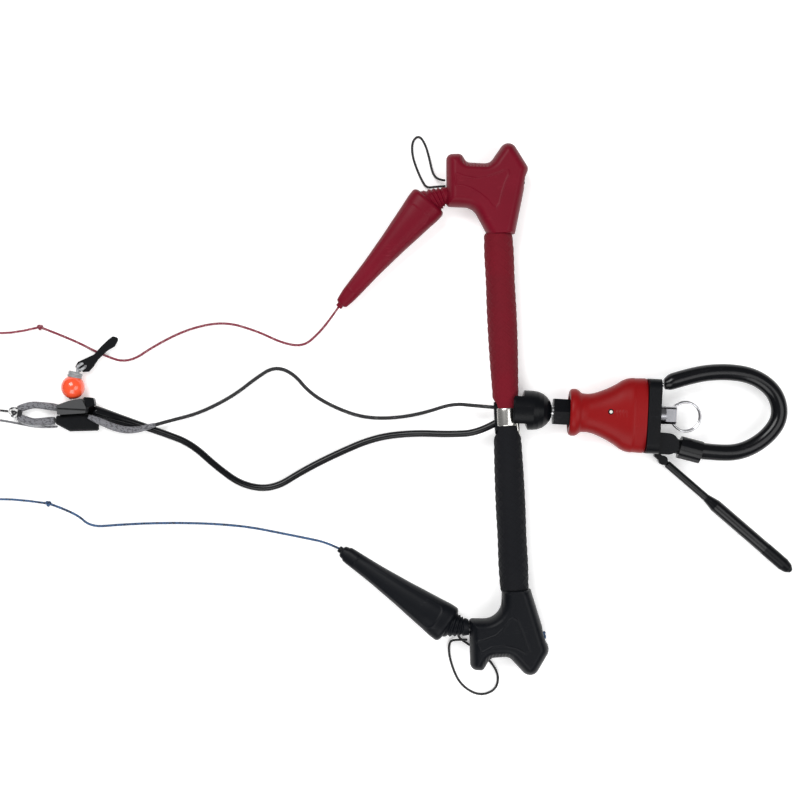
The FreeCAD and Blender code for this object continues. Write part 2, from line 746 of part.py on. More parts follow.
def make_trim():
    """Two sleeved strands tie the cleat to the knot, and the pull hangs from the cleat."""
    strand = 2 * size("strand_radius")
    cord("trim_strand_upper", [(-423.4, -19.4, 8.4), (-437.0, -18.2, 6.2), (-450.5, -17.8, 4.6),
                               (-461.0, -22.8, 5.4)], strand)
    cord("trim_strand_lower", [(-425.8, -31.4, 7.0), (-438.0, -33.4, 5.4), (-450.0, -34.2, 4.6),
                               (-461.0, -30.0, 5.2)], strand)
    knot = feature(Part.makeSphere(size("knot_radius")))
    node(knot, "trim_knot", (-464.8, -25.8, 5.4))
    ball_at = (-408.7, 2.4, size("trim_ball_radius") + 0.2)
    bore = rod(size("trim_ball_bore"), 40, (0, -20, 0), ALONG_Y)
    node(cut(sphere("trim_ball_radius"), bore), "trim_ball", ball_at, heading(-8))
    ferrule = rod(size("ferrule_radius"), size("ferrule_length"), (0, 0, 0), ALONG_Y)
    ferrule_hole = rod(size("trim_ball_bore"), 20, (0, -5, 0), ALONG_Y)
    node(cut(ferrule, ferrule_hole), "trim_ferrule", (-407.2, 13.2, 10.2), heading(-22))
    tab = Part.Face(Part.Wire([e.toShape() for e in rounded_wire([
        (-409.5, 20.6, 2.0), (-411.0, 27.4, 3.0), (-402.5, 31.0, 3.0), (-386.0, 24.5, 3.0),
        (-392.0, 15.4, 3.0),
    ])])).extrude(Vector(0, 0, 4.4))
    strap = Part.Face(Part.Wire([e.toShape() for e in rounded_wire([
        (-394.8, 27.8, 0.8), (-374.2, 54.0, 3.2), (-366.8, 48.2, 3.2), (-387.4, 22.0, 0.8),
    ])])).extrude(Vector(0, 0, 1.8))
    node(feature(tab.fuse(strap)), "pull_tab", (0, 0, 4.0))


# ---- lines --------------------------------------------------------------------------------

DEPOWER_ROUTE = [
    (-389.5, -20.6, 6.6), (-374.0, -25.0, 4.2), (-350.0, -31.0, 3.5), (-322.0, -39.0, 3.5),
    (-296.0, -47.5, 3.5), (-270.0, -69.0, 3.5), (-245.0, -85.0, 3.5), (-216.0, -87.0, 3.5),
    (-188.0, -67.5, 3.5), (-158.0, -50.5, 3.5), (-122.0, -33.0, 3.5), (-86.0, -27.0, 5.0),
    (-52.0, -26.5, 13.0), (-24.0, -23.5, 20.0), (-6.0, -11.5, 20.5),
]
SLEEVE_ROUTE = [
    (-383.2, -33.6, 7.0), (-371.0, -35.6, 8.6), (-358.0, -38.6, 10.4), (-345.0, -36.6, 10.6),
    (-331.5, -31.6, 9.0),
]
FLAG_ROUTE = [
    (-331.5, -31.6, 9.0), (-316.0, -26.4, 5.4), (-289.0, -18.0, 1.9), (-258.0, 0.0, 1.9),
    (-238.0, 17.5, 1.9), (-221.0, 29.5, 1.9), (-203.0, 24.5, 1.9), (-186.0, 6.0, 1.9),
    (-162.0, -6.5, 1.9), (-134.0, -15.0, 1.9), (-104.0, -14.0, 1.9), (-76.0, -7.5, 4.0),
    (-50.0, 2.8, 11.0), (-28.0, 1.6, 18.6), (-8.0, 1.0, 20.5),
]
RED_LEADER_ROUTE = [
    (-162.4, 88.8, 6.9), (-170.0, 77.0, 3.6), (-180.5, 63.0, 1.2), (-194.0, 50.0, 1.2),
    (-214.0, 52.0, 1.2), (-239.0, 62.5, 1.2), (-270.0, 70.0, 1.2), (-303.0, 62.0, 1.2),
    (-334.0, 45.0, 1.2), (-360.0, 25.5, 1.2), (-386.0, 33.0, 1.2), (-414.0, 46.0, 1.2),
    (-445.0, 56.0, 1.2),
]
BLUE_LEADER_ROUTE = [
    (-150.9, -139.7, 7.4), (-163.0, -134.8, 4.6), (-182.0, -132.0, 1.8), (-206.0, -128.5, 1.2), (-240.0, -123.5, 1.2),
    (-282.0, -122.5, 1.2), (-326.0, -124.5, 1.2), (-362.0, -128.0, 1.2), (-388.0, -131.5, 1.2),
    (-403.0, -118.5, 1.2), (-429.0, -111.0, 1.2),
]
RED_LINE_ROUTE = [
    (-446.0, 56.0, 1.2), (-478.0, 46.5, 1.2), (-499.0, 52.0, 1.2), (-511.0, 70.0, 1.4),
    (-513.0, 92.0, 3.0),
]
BLUE_LINE_ROUTE = [
    (-430.0, -111.0, 1.2), (-471.0, -107.0, 1.2), (-498.0, -114.0, 1.2), (-511.0, -138.0, 1.4),
    (-513.0, -168.0, 3.0),
]
POWER_LINE_ROUTE = [
    (-471.6, -25.2, 2.2), (-482.0, -24.8, 1.2), (-497.0, -24.0, 1.2), (-509.0, -15.0, 1.4),
    (-513.0, -2.0, 3.0),
]
SAFETY_LINE_ROUTE = [
    (-423.0, -37.4, 7.4), (-440.0, -39.4, 2.6), (-462.0, -36.4, 1.2), (-486.0, -33.0, 1.2),
    (-502.0, -42.0, 1.2), (-511.0, -60.0, 1.4), (-513.0, -84.0, 3.0),
]
RED_BUNGEE_ROUTE = [
    (-67.2, 207.4, 12.0), (-76.0, 207.0, 8.0), (-85.0, 206.0, 3.0), (-90.0, 214.0, 1.4),
    (-95.0, 224.0, 1.4), (-100.0, 237.0, 1.4), (-100.5, 250.0, 1.4), (-94.0, 256.0, 1.4),
    (-87.5, 247.0, 1.4), (-83.0, 233.0, 1.4), (-80.0, 221.0, 2.6), (-75.0, 214.0, 7.0),
    (-67.8, 213.0, 11.0),
]
BLACK_BUNGEE_ROUTE = [
    (-25.8, -219.4, 12.0), (-34.0, -220.6, 7.0), (-42.0, -222.5, 2.4), (-42.0, -235.0, 1.4),
    (-37.0, -250.0, 1.4), (-30.0, -262.5, 1.4), (-18.0, -271.0, 1.4), (-6.0, -272.5, 1.4),
    (5.0, -266.0, 1.4), (6.5, -253.0, 1.4), (-1.0, -241.0, 1.4), (-12.0, -232.0, 1.4),
    (-24.0, -225.0, 1.4), (-33.5, -219.0, 2.6), (-34.0, -214.0, 7.0), (-26.6, -213.4, 10.0),
]
COILS = {
    "coil_red": (-562.0, 108.0),
    "coil_power": (-562.0, 5.0),
    "coil_safety": (-562.0, -100.0),
    "coil_blue": (-562.0, -204.0),
}


def make_coil(name, at):
    """A hank's outer shape: a ring with a rounded square section, lying flat."""
    middle, wide, tall = size("coil_radius"), size("coil_width") / 2, size("coil_height")
    bevel = 4.0
    corners = [
        (middle - wide + bevel, 0.1), (middle + wide - bevel, 0.1), (middle + wide, bevel),
        (middle + wide, tall - bevel), (middle + wide - bevel, tall),
        (middle - wide + bevel, tall), (middle - wide, tall - bevel), (middle - wide, bevel),
    ]
    node(turned(name, corners, "V_Axis", "XZ_Plane"), name, (*at, 0))


make_tube()
make_centre()
make_grip("grip_red", "red_grip_start", 1)
make_grip("grip_black", "black_grip_start", -1)
for colour, side in (("red", 1), ("black", -1)):
    make_bar_end(f"bar_end_{colour}", side)
    make_leader_knot(f"leader_knot_{colour}", side)
    make_float(colour, side)
make_stopper()
make_swivel_neck()
make_through_lines()
make_handle()
make_qr_core()
make_plate()
make_loop()
make_loop_bracket()
make_leash()
make_finger()
make_cleat()
make_trim()
cord("depower_tube", DEPOWER_ROUTE, size("depower_line"))
cord("flag_sleeve", SLEEVE_ROUTE, 4.6)
cord("flag_line", FLAG_ROUTE, size("flag_line_size"))
cord("leader_red", RED_LEADER_ROUTE, size("leader_size"))
cord("leader_blue", BLUE_LEADER_ROUTE, size("leader_size"))
cord("line_red", RED_LINE_ROUTE, size("flying_line"))
cord("line_blue", BLUE_LINE_ROUTE, size("flying_line"))
cord("line_power", POWER_LINE_ROUTE, size("flying_line"))
cord("line_safety", SAFETY_LINE_ROUTE, size("flying_line"))
cord("bungee_red", RED_BUNGEE_ROUTE, size("bungee_size"))
cord("bungee_black", BLACK_BUNGEE_ROUTE, size("bungee_size"))
for name, at in COILS.items():
    make_coil(name, at)

doc.recompute()
for thing in doc.Objects:
    if {"Invalid", "Error"} & set(thing.State):
        raise RuntimeError(f"{thing.Label} failed: {thing.State}")
for thing in NODES:
    shape = thing.Shape
    if shape.isNull() or not shape.isValid() or len(shape.Solids) != 1 or shape.Volume <= 0:
        raise RuntimeError(f"{thing.Label} is not one sound solid")
    shape.exportStep(f"parts/{thing.Label}.step")
print(len(NODES), "nodes")
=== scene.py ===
import math

import bmesh
import bpy
import numpy as np
from bpy.props import FloatProperty, FloatVectorProperty, IntProperty, PointerProperty
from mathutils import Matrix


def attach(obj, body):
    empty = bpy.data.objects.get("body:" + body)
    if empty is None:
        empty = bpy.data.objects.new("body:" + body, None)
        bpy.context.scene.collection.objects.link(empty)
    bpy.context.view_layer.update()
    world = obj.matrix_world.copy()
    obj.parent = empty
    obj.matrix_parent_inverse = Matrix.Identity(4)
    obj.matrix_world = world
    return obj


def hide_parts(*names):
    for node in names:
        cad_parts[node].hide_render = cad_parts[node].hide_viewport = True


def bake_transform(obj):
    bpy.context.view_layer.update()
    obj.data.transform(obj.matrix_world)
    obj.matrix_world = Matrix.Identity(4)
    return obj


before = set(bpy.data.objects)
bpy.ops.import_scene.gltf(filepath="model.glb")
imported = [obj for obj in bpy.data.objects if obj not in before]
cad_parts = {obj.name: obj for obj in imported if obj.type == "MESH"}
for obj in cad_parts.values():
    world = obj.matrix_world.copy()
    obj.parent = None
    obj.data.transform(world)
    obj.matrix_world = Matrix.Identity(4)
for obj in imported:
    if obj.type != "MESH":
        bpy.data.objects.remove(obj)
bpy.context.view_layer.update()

# The looks of a kite control bar. Lengths are in metres, in the part's own frame: +X along the
# release towards the rider, +Y towards the red end of the bar, +Z up, lying on z = 0.

bl_info = {
    "name": "Kite control bar",
    "version": (1, 0, 0),
    "blender": (4, 5, 0),
    "location": "View3D > Sidebar > Kite bar",
    "description": "Builds the visible skin, cords and finishes of a kite control bar",
    "category": "Add Mesh",
}

PIVOT = np.array([0.0953, -0.0011, 0.0])
AXIS = 0.0205
BAR_TURN = math.radians(5.43)
FLOATS = {
    "red": {"side": 1, "heading": 231.9, "length": 0.138},
    "black": {"side": -1, "heading": 148.3, "length": 0.132},
}
FLOAT_PITCH = math.radians(5.5)
FLOAT_SHIFT = 0.0044
ROOT = (-0.053, 0.203)


# ---- sizes and colours that a user would change -------------------------------------------


def colour_property(name, text, value):
    """A colour that the user can change."""
    return FloatVectorProperty(
        name=name, description=text, default=value, subtype="COLOR", min=0.0, max=1.0
    )


class KiteBarSizes(bpy.types.PropertyGroup):
    diamond: FloatProperty(
        name="Grip diamond", description="Distance between the raised lines of the grips",
        default=0.0088, min=0.004, max=0.03, subtype="DISTANCE", unit="LENGTH",
    )
    diamond_height: FloatProperty(
        name="Grip line height", description="How far the grips' lines stand out",
        default=0.00034, min=0.0, max=0.001, subtype="DISTANCE", unit="LENGTH",
    )
    rib_pitch: FloatProperty(
        name="Rib pitch", description="Distance between the fine ribs of the line seats",
        default=0.0031, min=0.002, max=0.008, subtype="DISTANCE", unit="LENGTH",
    )
    contour_height: FloatProperty(
        name="Contour height", description="How far the moulded contour lines stand out",
        default=0.0005, min=0.0, max=0.002, subtype="DISTANCE", unit="LENGTH",
    )
    flying_line: FloatProperty(
        name="Flying line", description="Thickness of the four flying lines",
        default=0.002, min=0.001, max=0.003, subtype="DISTANCE", unit="LENGTH",
    )
    coil_turns: IntProperty(
        name="Coil turns", description="Turns of each flying line that are put away",
        default=76, min=10, max=80,
    )


class KiteBarColours(bpy.types.PropertyGroup):
    red_foam: colour_property("Red foam", "Foam of the left grip", (0.125, 0.002, 0.009))
    red_shell: colour_property("Red shell", "Left bar end and float", (0.138, 0.003, 0.0125))
    release_red: colour_property("Release red", "Handle of the quick release", (0.215, 0.0045, 0.0055))
    black_foam: colour_property("Black foam", "Foam of the right grip", (0.0022, 0.0026, 0.0042))
    black_shell: colour_property("Black shell", "Right bar end and float", (0.0035, 0.0042, 0.006))
    black_rubber: colour_property("Black rubber", "Loop, tubes and cuff", (0.0025, 0.0028, 0.0038))
    black_plastic: colour_property("Black plastic", "Ball, neck, plate", (0.003, 0.0034, 0.0045))
    cleat_grey: colour_property("Cleat grey", "Shell of the cleat", (0.03, 0.031, 0.033))
    orange: colour_property("Orange", "Ball of the trim pull", (0.9, 0.085, 0.025))
    grey_cord: colour_property("Grey cord", "Sleeves of the trim and flag line", (0.22, 0.22, 0.24))
    red_cord: colour_property("Red cord", "Left leader and flying line", (0.25, 0.02, 0.045))
    blue_cord: colour_property("Blue cord", "Right leader and flying line", (0.04, 0.11, 0.25))


# ---- places and curves --------------------------------------------------------------------


def from_pivot(points):
    """Points given from the foot of the bar's pivot, moved to the part's frame."""
    return np.asarray(points, float) + PIVOT


def from_bar(v, u, z):
    """Bar coordinates to the part's frame: v to the rider, u along the bar to the red end, z up
    from the bar's axis. It is a turn by BAR_TURN about the upright through the pivot."""
    v, u, z = np.broadcast_arrays(v, u, z)
    turn, side = math.cos(BAR_TURN), math.sin(BAR_TURN)
    return from_pivot(np.stack([v * turn - u * side, v * side + u * turn, z + AXIS], axis=-1))


def from_float(colour, along, across, up):
    """Float coordinates to the part's frame: a tip down by FLOAT_PITCH, a turn to the float's
    heading, and a move to its root."""
    facts = FLOATS[colour]
    along, across, up = np.broadcast_arrays(along, across, up)
    level = along * math.cos(FLOAT_PITCH) + up * math.sin(FLOAT_PITCH)
    height = up * math.cos(FLOAT_PITCH) - along * math.sin(FLOAT_PITCH)
    turn = math.radians(facts["heading"])
    root = from_bar(ROOT[0], facts["side"] * ROOT[1], 0.0)
    x = level * math.cos(turn) - across * math.sin(turn)
    y = level * math.sin(turn) + across * math.cos(turn)
    return root + np.stack([x, y, height], axis=-1)


def through(stations, values, at):
    """A smooth curve through values at stations that never swings past them: cubic pieces
    whose slope at a station is the harmonic mean of the slopes beside it."""
    x, y = np.asarray(stations, float), np.asarray(values, float)
    rise = np.diff(y) / np.diff(x)
    slope = np.zeros_like(y)
    same = rise[:-1] * rise[1:] > 0
    safe = np.where(same, rise[:-1] + rise[1:], 1.0)
    slope[1:-1] = np.where(same, 2 * rise[:-1] * rise[1:] / safe, 0.0)
    slope[0], slope[-1] = rise[0], rise[-1]
    at = np.clip(at, x[0], x[-1])
    i = np.clip(np.searchsorted(x, at) - 1, 0, len(x) - 2)
    step = x[i + 1] - x[i]
    t = (at - x[i]) / step
    return (
        (2 * t**3 - 3 * t**2 + 1) * y[i] + (t**3 - 2 * t**2 + t) * step * slope[i]
        + (3 * t**2 - 2 * t**3) * y[i + 1] + (t**3 - t**2) * step * slope[i + 1]
    )


def whole_turn(count):
    """Count angles evenly round a full turn, the last one short of closing it."""
    return np.linspace(0, 2 * math.pi, count, endpoint=False)


def powered(values, power):
    """Values with their size raised to a power and their sign kept: on a cosine and a sine it
    makes a superellipse."""
    return np.sign(values) * np.abs(values) ** power


def eased(count):
    """Count numbers from 0 to 1, close together near both ends: (1 - cos(pi k / n)) / 2."""
    return (1 - np.cos(np.linspace(0, math.pi, count))) / 2


def bump_between(x, low, high, soft):
    """1 between low and high, falling smoothly to 0 over soft on either side."""
    up = np.clip((x - low) / soft + 1, 0, 1)
    down = np.clip((high - x) / soft + 1, 0, 1)
    return up * up * (3 - 2 * up) * down * down * (3 - 2 * down)


def distance_to_outline(x, y, corners, closed=True):
    """For each point, the shortest distance to the straight sides that join the corners: each
    side's nearest point is its start plus a clipped share of its length."""
    start = np.asarray(corners, float)
    end = np.roll(start, -1, axis=0)
    if not closed:
        start, end = start[:-1], end[:-1]
    side = end - start
    px, py = np.ravel(x)[:, None], np.ravel(y)[:, None]
    length = np.maximum((side**2).sum(axis=1), 1e-12)
    share = np.clip(((px - start[:, 0]) * side[:, 0] + (py - start[:, 1]) * side[:, 1]) / length, 0, 1)
    gap = np.hypot(px - start[:, 0] - share * side[:, 0], py - start[:, 1] - share * side[:, 1])
    return gap.min(axis=1).reshape(np.shape(x))


def rounded(corners, steps=14):
    """A closed outline with each corner (x, y, radius) an arc of that radius."""
    points = np.array([c[:2] for c in corners], float)
    radius = np.array([c[2] for c in corners], float)[:, None]
    back, ahead = np.roll(points, 1, axis=0) - points, np.roll(points, -1, axis=0) - points
    back /= np.linalg.norm(back, axis=1, keepdims=True)
    ahead /= np.linalg.norm(ahead, axis=1, keepdims=True)
    half = np.arccos(np.clip((back * ahead).sum(axis=1), -1, 1))[:, None] / 2
    middle = back + ahead
    middle /= np.linalg.norm(middle, axis=1, keepdims=True)
    centre = points + middle * radius / np.sin(half)
    swing = math.pi / 2 - half
    across = back - ahead
    across /= np.linalg.norm(across, axis=1, keepdims=True)
    t = np.linspace(1, -1, steps)[None, :, None]
    angle = swing[:, None] * t
    spoke = across[:, None] * np.sin(angle) - middle[:, None] * np.cos(angle)
    return (centre[:, None] + radius[:, None] * spoke).reshape(-1, 2)


def spans(outline, stations):
    """The lowest and highest second coordinate of the outline at each first coordinate."""
    a, b = outline, np.roll(outline, -1, axis=0)
    x = stations[:, None]
    run = b[:, 0] - a[:, 0]
    share = (x - a[:, 0]) / np.where(np.abs(run) < 1e-9, 1e-9, run)
    inside = (share >= 0) & (share <= 1)
    y = a[:, 1] + share * (b[:, 1] - a[:, 1])
    return np.where(inside, y, 1e3).min(axis=1), np.where(inside, y, -1e3).max(axis=1)


# ---- meshes -------------------------------------------------------------------------------


def add_piece(name, body, mesh, finish, replaced=()):
    """Puts a finished mesh in the scene as a piece that rides on a body."""
    piece = bpy.data.objects.new(name, mesh)
    bpy.context.collection.objects.link(piece)
    mesh.materials.clear()
    mesh.materials.append(bpy.data.materials[finish])
    if body:
        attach(piece, body)
    if replaced:
        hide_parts(*replaced)
    return piece


def ring_mesh(name, rings, lengths=None, ends=True):
    """Rings of points, one after the other, joined into a closed skin. Face (i, j) joins ring i
    to ring i + 1 between points j and j + 1, and each end closes on its ring's middle point.
    The UV map runs once round the rings and by lengths along them."""
    rows, around = rings.shape[:2]
    index = np.arange(rows * around).reshape(rows, around)
    right = np.roll(index, -1, axis=1)
    quads = np.stack([index[:-1], index[1:], right[1:], right[:-1]], axis=-1).reshape(-1, 4)
    if lengths is None:
        middle = rings.mean(axis=1)
        lengths = np.append(0, np.cumsum(np.linalg.norm(np.diff(middle, axis=0), axis=1)))
    u = np.arange(around + 1) / around
    u0, v0 = np.meshgrid(u[:-1], lengths[:-1])
    u1, v1 = np.meshgrid(u[1:], lengths[1:])
    quad_uv = np.stack([np.stack(p, axis=-1) for p in ((u0, v0), (u0, v1), (u1, v1), (u1, v0))], axis=2)
    points = rings.reshape(-1, 3)
    triangles = np.empty((0, 3), int)
    if ends:
        middles = np.array([rings[0].mean(axis=0), rings[-1].mean(axis=0)])
        count = len(points)
        points = np.vstack([points, middles])
        first = np.stack([np.full(around, count), index[0], right[0]], axis=-1)
        last = np.stack([np.full(around, count + 1), right[-1], index[-1]], axis=-1)
        triangles = np.vstack([first, last])
    a, b, c, d = (points[quads[:, k]] for k in range(4))
    volume = (a * np.cross(b, c)).sum() + (a * np.cross(c, d)).sum()
    if len(triangles):
        p, q, r = (points[triangles[:, k]] for k in range(3))
        volume += (p * np.cross(q, r)).sum()
    quad_uv = quad_uv.reshape(-1, 4, 2)
    if volume < 0:
        quads, quad_uv, triangles = quads[:, ::-1], quad_uv[:, ::-1], triangles[:, ::-1]
    mesh = bpy.data.meshes.new(name)
    mesh.from_pydata(points, [], quads.tolist() + triangles.tolist())
    uv = np.vstack([quad_uv.reshape(-1, 2), np.zeros((3 * len(triangles), 2))])
    mesh.uv_layers.new(name="UVMap").data.foreach_set("uv", uv.ravel())
    mesh.polygons.foreach_set("use_smooth", np.ones(len(mesh.polygons), bool))
    return mesh


def read_spline(points, resolution=10):
    """The points along a route's open NURBS spline of order 3, as Blender works them out."""
    curve = bpy.data.curves.new("route", "CURVE")
    curve.dimensions = "3D"
    curve.resolution_u = resolution
    spline = curve.splines.new("NURBS")
    spline.points.add(len(points) - 1)
    spline.points.foreach_set("co", np.hstack([points, np.ones((len(points), 1))]).ravel())
    spline.order_u = 3
    spline.use_endpoint_u = True
    holder = bpy.data.objects.new("route", curve)
    mesh = bpy.data.meshes.new_from_object(holder)
    path = np.empty(len(mesh.vertices) * 3)
    mesh.vertices.foreach_get("co", path)
    path = path.reshape(-1, 3)
    bpy.data.objects.remove(holder)
    bpy.data.curves.remove(curve)
    bpy.data.meshes.remove(mesh)
    keep = np.append(True, np.linalg.norm(np.diff(path, axis=0), axis=1) > 1e-6)
    return path[keep]


def lengths_along(path):
    """The length of the path up to each of its points."""
    return np.append(0, np.cumsum(np.linalg.norm(np.diff(path, axis=0), axis=1)))


def sweep(path, wide, high=None, around=14):
    """Rings carried along a path: point j of a ring is path + wide cos(a) side + high sin(a) up,
    with a = 2 pi j / around, side level and square to the path, and up square to both."""
    high = wide if high is None else high
    ahead = np.gradient(path, axis=0)
    ahead /= np.linalg.norm(ahead, axis=1, keepdims=True)
    side = np.cross(ahead, [0, 0, 1])
    side /= np.linalg.norm(side, axis=1, keepdims=True)
    up = np.cross(side, ahead)
    angle = whole_turn(around)
    wide = np.broadcast_to(wide, len(path))[:, None, None]
    high = np.broadcast_to(high, len(path))[:, None, None]
    return (
        path[:, None] + wide * np.cos(angle)[None, :, None] * side[:, None]
        + high * np.sin(angle)[None, :, None] * up[:, None]
    )


def knot_rings(size, thick, around=10, steps=72, flatten=0.8):
    """A tied knot: a tube along (sin t + 2 sin 2t, cos t - 2 cos 2t, -sin 3t), a trefoil, made
    flatter, with its ring's frame taken from the path's own direction."""
    t = np.linspace(0, 2 * math.pi, steps)
    path = np.stack(
        [np.sin(t) + 2 * np.sin(2 * t), np.cos(t) - 2 * np.cos(2 * t), -flatten * np.sin(3 * t)], axis=-1
    ) * size / 3
    return sweep(path, thick, around=around)


def plate_rings(corners, height, edge, rows=90, columns=60, end_edge=None):
    """A soft-edged plate with a flat outline. Grid point (i, j) is a share j of the way across
    the outline at station i. Its height above and below the middle is
    height * sqrt(1 - (1 - d / edge)^2), where d is its distance to the outline up to edge.
    end_edge is (least y, edge) of a squarer end."""
    outline = rounded(corners)
    low, high = outline[:, 0].min(), outline[:, 0].max()
    stations = low + (high - low) * eased(rows)
    stations[0] += 1e-6
    stations[-1] -= 1e-6
    y0, y1 = spans(outline, stations)
    share = eased(columns)
    x = np.repeat(stations[:, None], columns, axis=1)
    y = y0[:, None] + (y1 - y0)[:, None] * share
    if end_edge is None:
        d = distance_to_outline(x, y, outline)
        rise = np.sqrt(1 - (1 - np.clip(d / edge, 0, 1)) ** 2)
    else:
        least, soft = end_edge
        side = (outline[:, 1] > least + 1e-4) | (np.roll(outline[:, 1], -1) > least + 1e-4)
        cut = np.flatnonzero(~side)
        open_line = np.roll(outline, -(cut[-1] + 1), axis=0)[: len(outline) - len(cut) + 1]
        d = distance_to_outline(x, y, open_line, closed=False)
        rise = np.sqrt(1 - (1 - np.clip(d / edge, 0, 1)) ** 2)
        rise *= np.sqrt(1 - (1 - np.clip((y - least) / soft, 0, 1)) ** 2)
    rise[:, 0] = rise[:, -1] = 0.0
    rise[0] = rise[-1] = 0.0
    return x, y, height * rise, d


def welded(mesh):
    """Joins points that lie on each other, closes what is open and turns the faces outwards."""
    work = bmesh.new()
    work.from_mesh(mesh)
    bmesh.ops.remove_doubles(work, verts=work.verts, dist=2e-6)
    bmesh.ops.dissolve_degenerate(work, edges=work.edges, dist=1e-7)
    bmesh.ops.holes_fill(work, edges=work.edges)
    bmesh.ops.recalc_face_normals(work, faces=work.faces)
    work.to_mesh(mesh)
    work.free()
    mesh.polygons.foreach_set("use_smooth", np.ones(len(mesh.polygons), bool))
    return mesh


def plate_mesh(name, x, y, top, bottom, to_frame):
    """Closes a plate's top and bottom grids into one skin: ring i runs across the top and back
    across the bottom, and points that meet at the rim are merged."""
    around_x = np.hstack([x, x[:, -2:0:-1]])
    around_y = np.hstack([y, y[:, -2:0:-1]])
    around_z = np.hstack([top, bottom[:, -2:0:-1]])
    mesh = ring_mesh(name, to_frame(around_x, around_y, around_z), ends=False)
    return welded(mesh)


# ---- shared effects as node groups --------------------------------------------------------


def put(tree, kind, inputs=None, **settings):
    """Adds a shader node. An input is a plain value, or a socket of another node to link."""
    node = tree.nodes.new(kind)
    for word, value in settings.items():
        setattr(node, word, value)
    for socket, value in (inputs or {}).items():
        if isinstance(value, bpy.types.NodeSocket):
            tree.links.new(value, node.inputs[socket])
        else:
            node.inputs[socket].default_value = value
    return node


def effect(tree, name, inputs):
    """Places the shared node group of that name, with its own inputs."""
    return put(tree, "ShaderNodeGroup", inputs, node_tree=bpy.data.node_groups[name])


def maths(tree, operation, a, b=0.0, c=0.0):
    """The result of one Math node."""
    return put(tree, "ShaderNodeMath", {0: a, 1: b, 2: c}, operation=operation).outputs[0]


def new_group(name, inputs, outputs):
    """A node group with sockets (name, kind, default) in and (name, kind) out."""
    group = bpy.data.node_groups.new(name, "ShaderNodeTree")
    for label, kind, value in inputs:
        socket = group.interface.new_socket(label, in_out="INPUT", socket_type=f"NodeSocket{kind}")
        if value is not None:
            socket.default_value = value
    for label, kind in outputs:
        group.interface.new_socket(label, in_out="OUTPUT", socket_type=f"NodeSocket{kind}")
    return group, put(group, "NodeGroupInput").outputs, put(group, "NodeGroupOutput").inputs


def moulded_group():
    """Moulded skin: a fine grain, and slow patches of tone."""
    group, given, out = new_group(
        "Moulded skin",
        [("Vector", "Vector", None), ("Grain size", "Float", 0.0006)],
        [("Grain", "Float"), ("Patches", "Float")],
    )
    fineness = maths(group, "DIVIDE", 1.0, given["Grain size"])
    grain = put(group, "ShaderNodeTexNoise", {"Vector": given["Vector"], "Scale": fineness, "Detail": 3.0})
    slow = put(group, "ShaderNodeTexNoise", {"Vector": given["Vector"], "Scale": 22.0, "Detail": 4.0})
    group.links.new(grain.outputs["Fac"], out["Grain"])
    group.links.new(slow.outputs["Fac"], out["Patches"])
    return group


def scuff_group():
    """Scuffs: thin stretched scratches, few and faint, where the noise is highest."""
    group, given, out = new_group(
        "Scuffs",
        [("Vector", "Vector", None), ("Amount", "Float", 0.3)],
        [("Mask", "Float")],
    )
    mapping = put(group, "ShaderNodeMapping", {"Vector": given["Vector"], "Scale": (160.0, 900.0, 400.0),
                                               "Rotation": (0.3, 0.2, 0.7)})
    streaks = put(group, "ShaderNodeTexNoise", {"Vector": mapping.outputs[0], "Scale": 1.0, "Detail": 5.0})
    spots = put(group, "ShaderNodeTexNoise", {"Vector": given["Vector"], "Scale": 60.0, "Detail": 2.0})
    both = maths(group, "MULTIPLY", streaks.outputs["Fac"], spots.outputs["Fac"])
    raised = maths(group, "MULTIPLY_ADD", both, 8.0, -2.9)
    sharp = put(group, "ShaderNodeClamp", {"Value": raised})
    group.links.new(maths(group, "MULTIPLY", sharp.outputs[0], given["Amount"]), out["Mask"])
    return group


def braid_group():
    """Braid round a cord: two sets of strands that wind opposite ways and pass over and under
    in turn. Height is the strand on top, and Fleck a random value for each stitch."""
    group, given, out = new_group(
        "Braid",
        [("UV", "Vector", None), ("Strands", "Float", 6.0), ("Pitch", "Float", 0.004)],
        [("Height", "Float"), ("Fleck", "Float")],
    )
    parts = put(group, "ShaderNodeSeparateXYZ", {"Vector": given["UV"]}).outputs
    round_it = maths(group, "MULTIPLY", parts["X"], given["Strands"])
    along = maths(group, "DIVIDE", parts["Y"], given["Pitch"])
    first, second = maths(group, "ADD", round_it, along), maths(group, "SUBTRACT", round_it, along)
    humps = [
        maths(group, "ABSOLUTE", maths(group, "SINE", maths(group, "MULTIPLY", turn, math.pi)))
        for turn in (first, second)
    ]
    floors = [maths(group, "FLOOR", turn) for turn in (first, second)]
    odd = maths(group, "ABSOLUTE", maths(group, "MODULO", maths(group, "ADD", *floors), 2.0))
    top = put(group, "ShaderNodeMix", {"Factor": odd, "A": humps[0], "B": humps[1]})
    cell = put(group, "ShaderNodeCombineXYZ", {"X": floors[0], "Y": floors[1]})
    fleck = put(group, "ShaderNodeTexWhiteNoise", {"Vector": cell.outputs[0]}, noise_dimensions="3D")
    group.links.new(top.outputs["Result"], out["Height"])
    group.links.new(fleck.outputs["Value"], out["Fleck"])
    return group


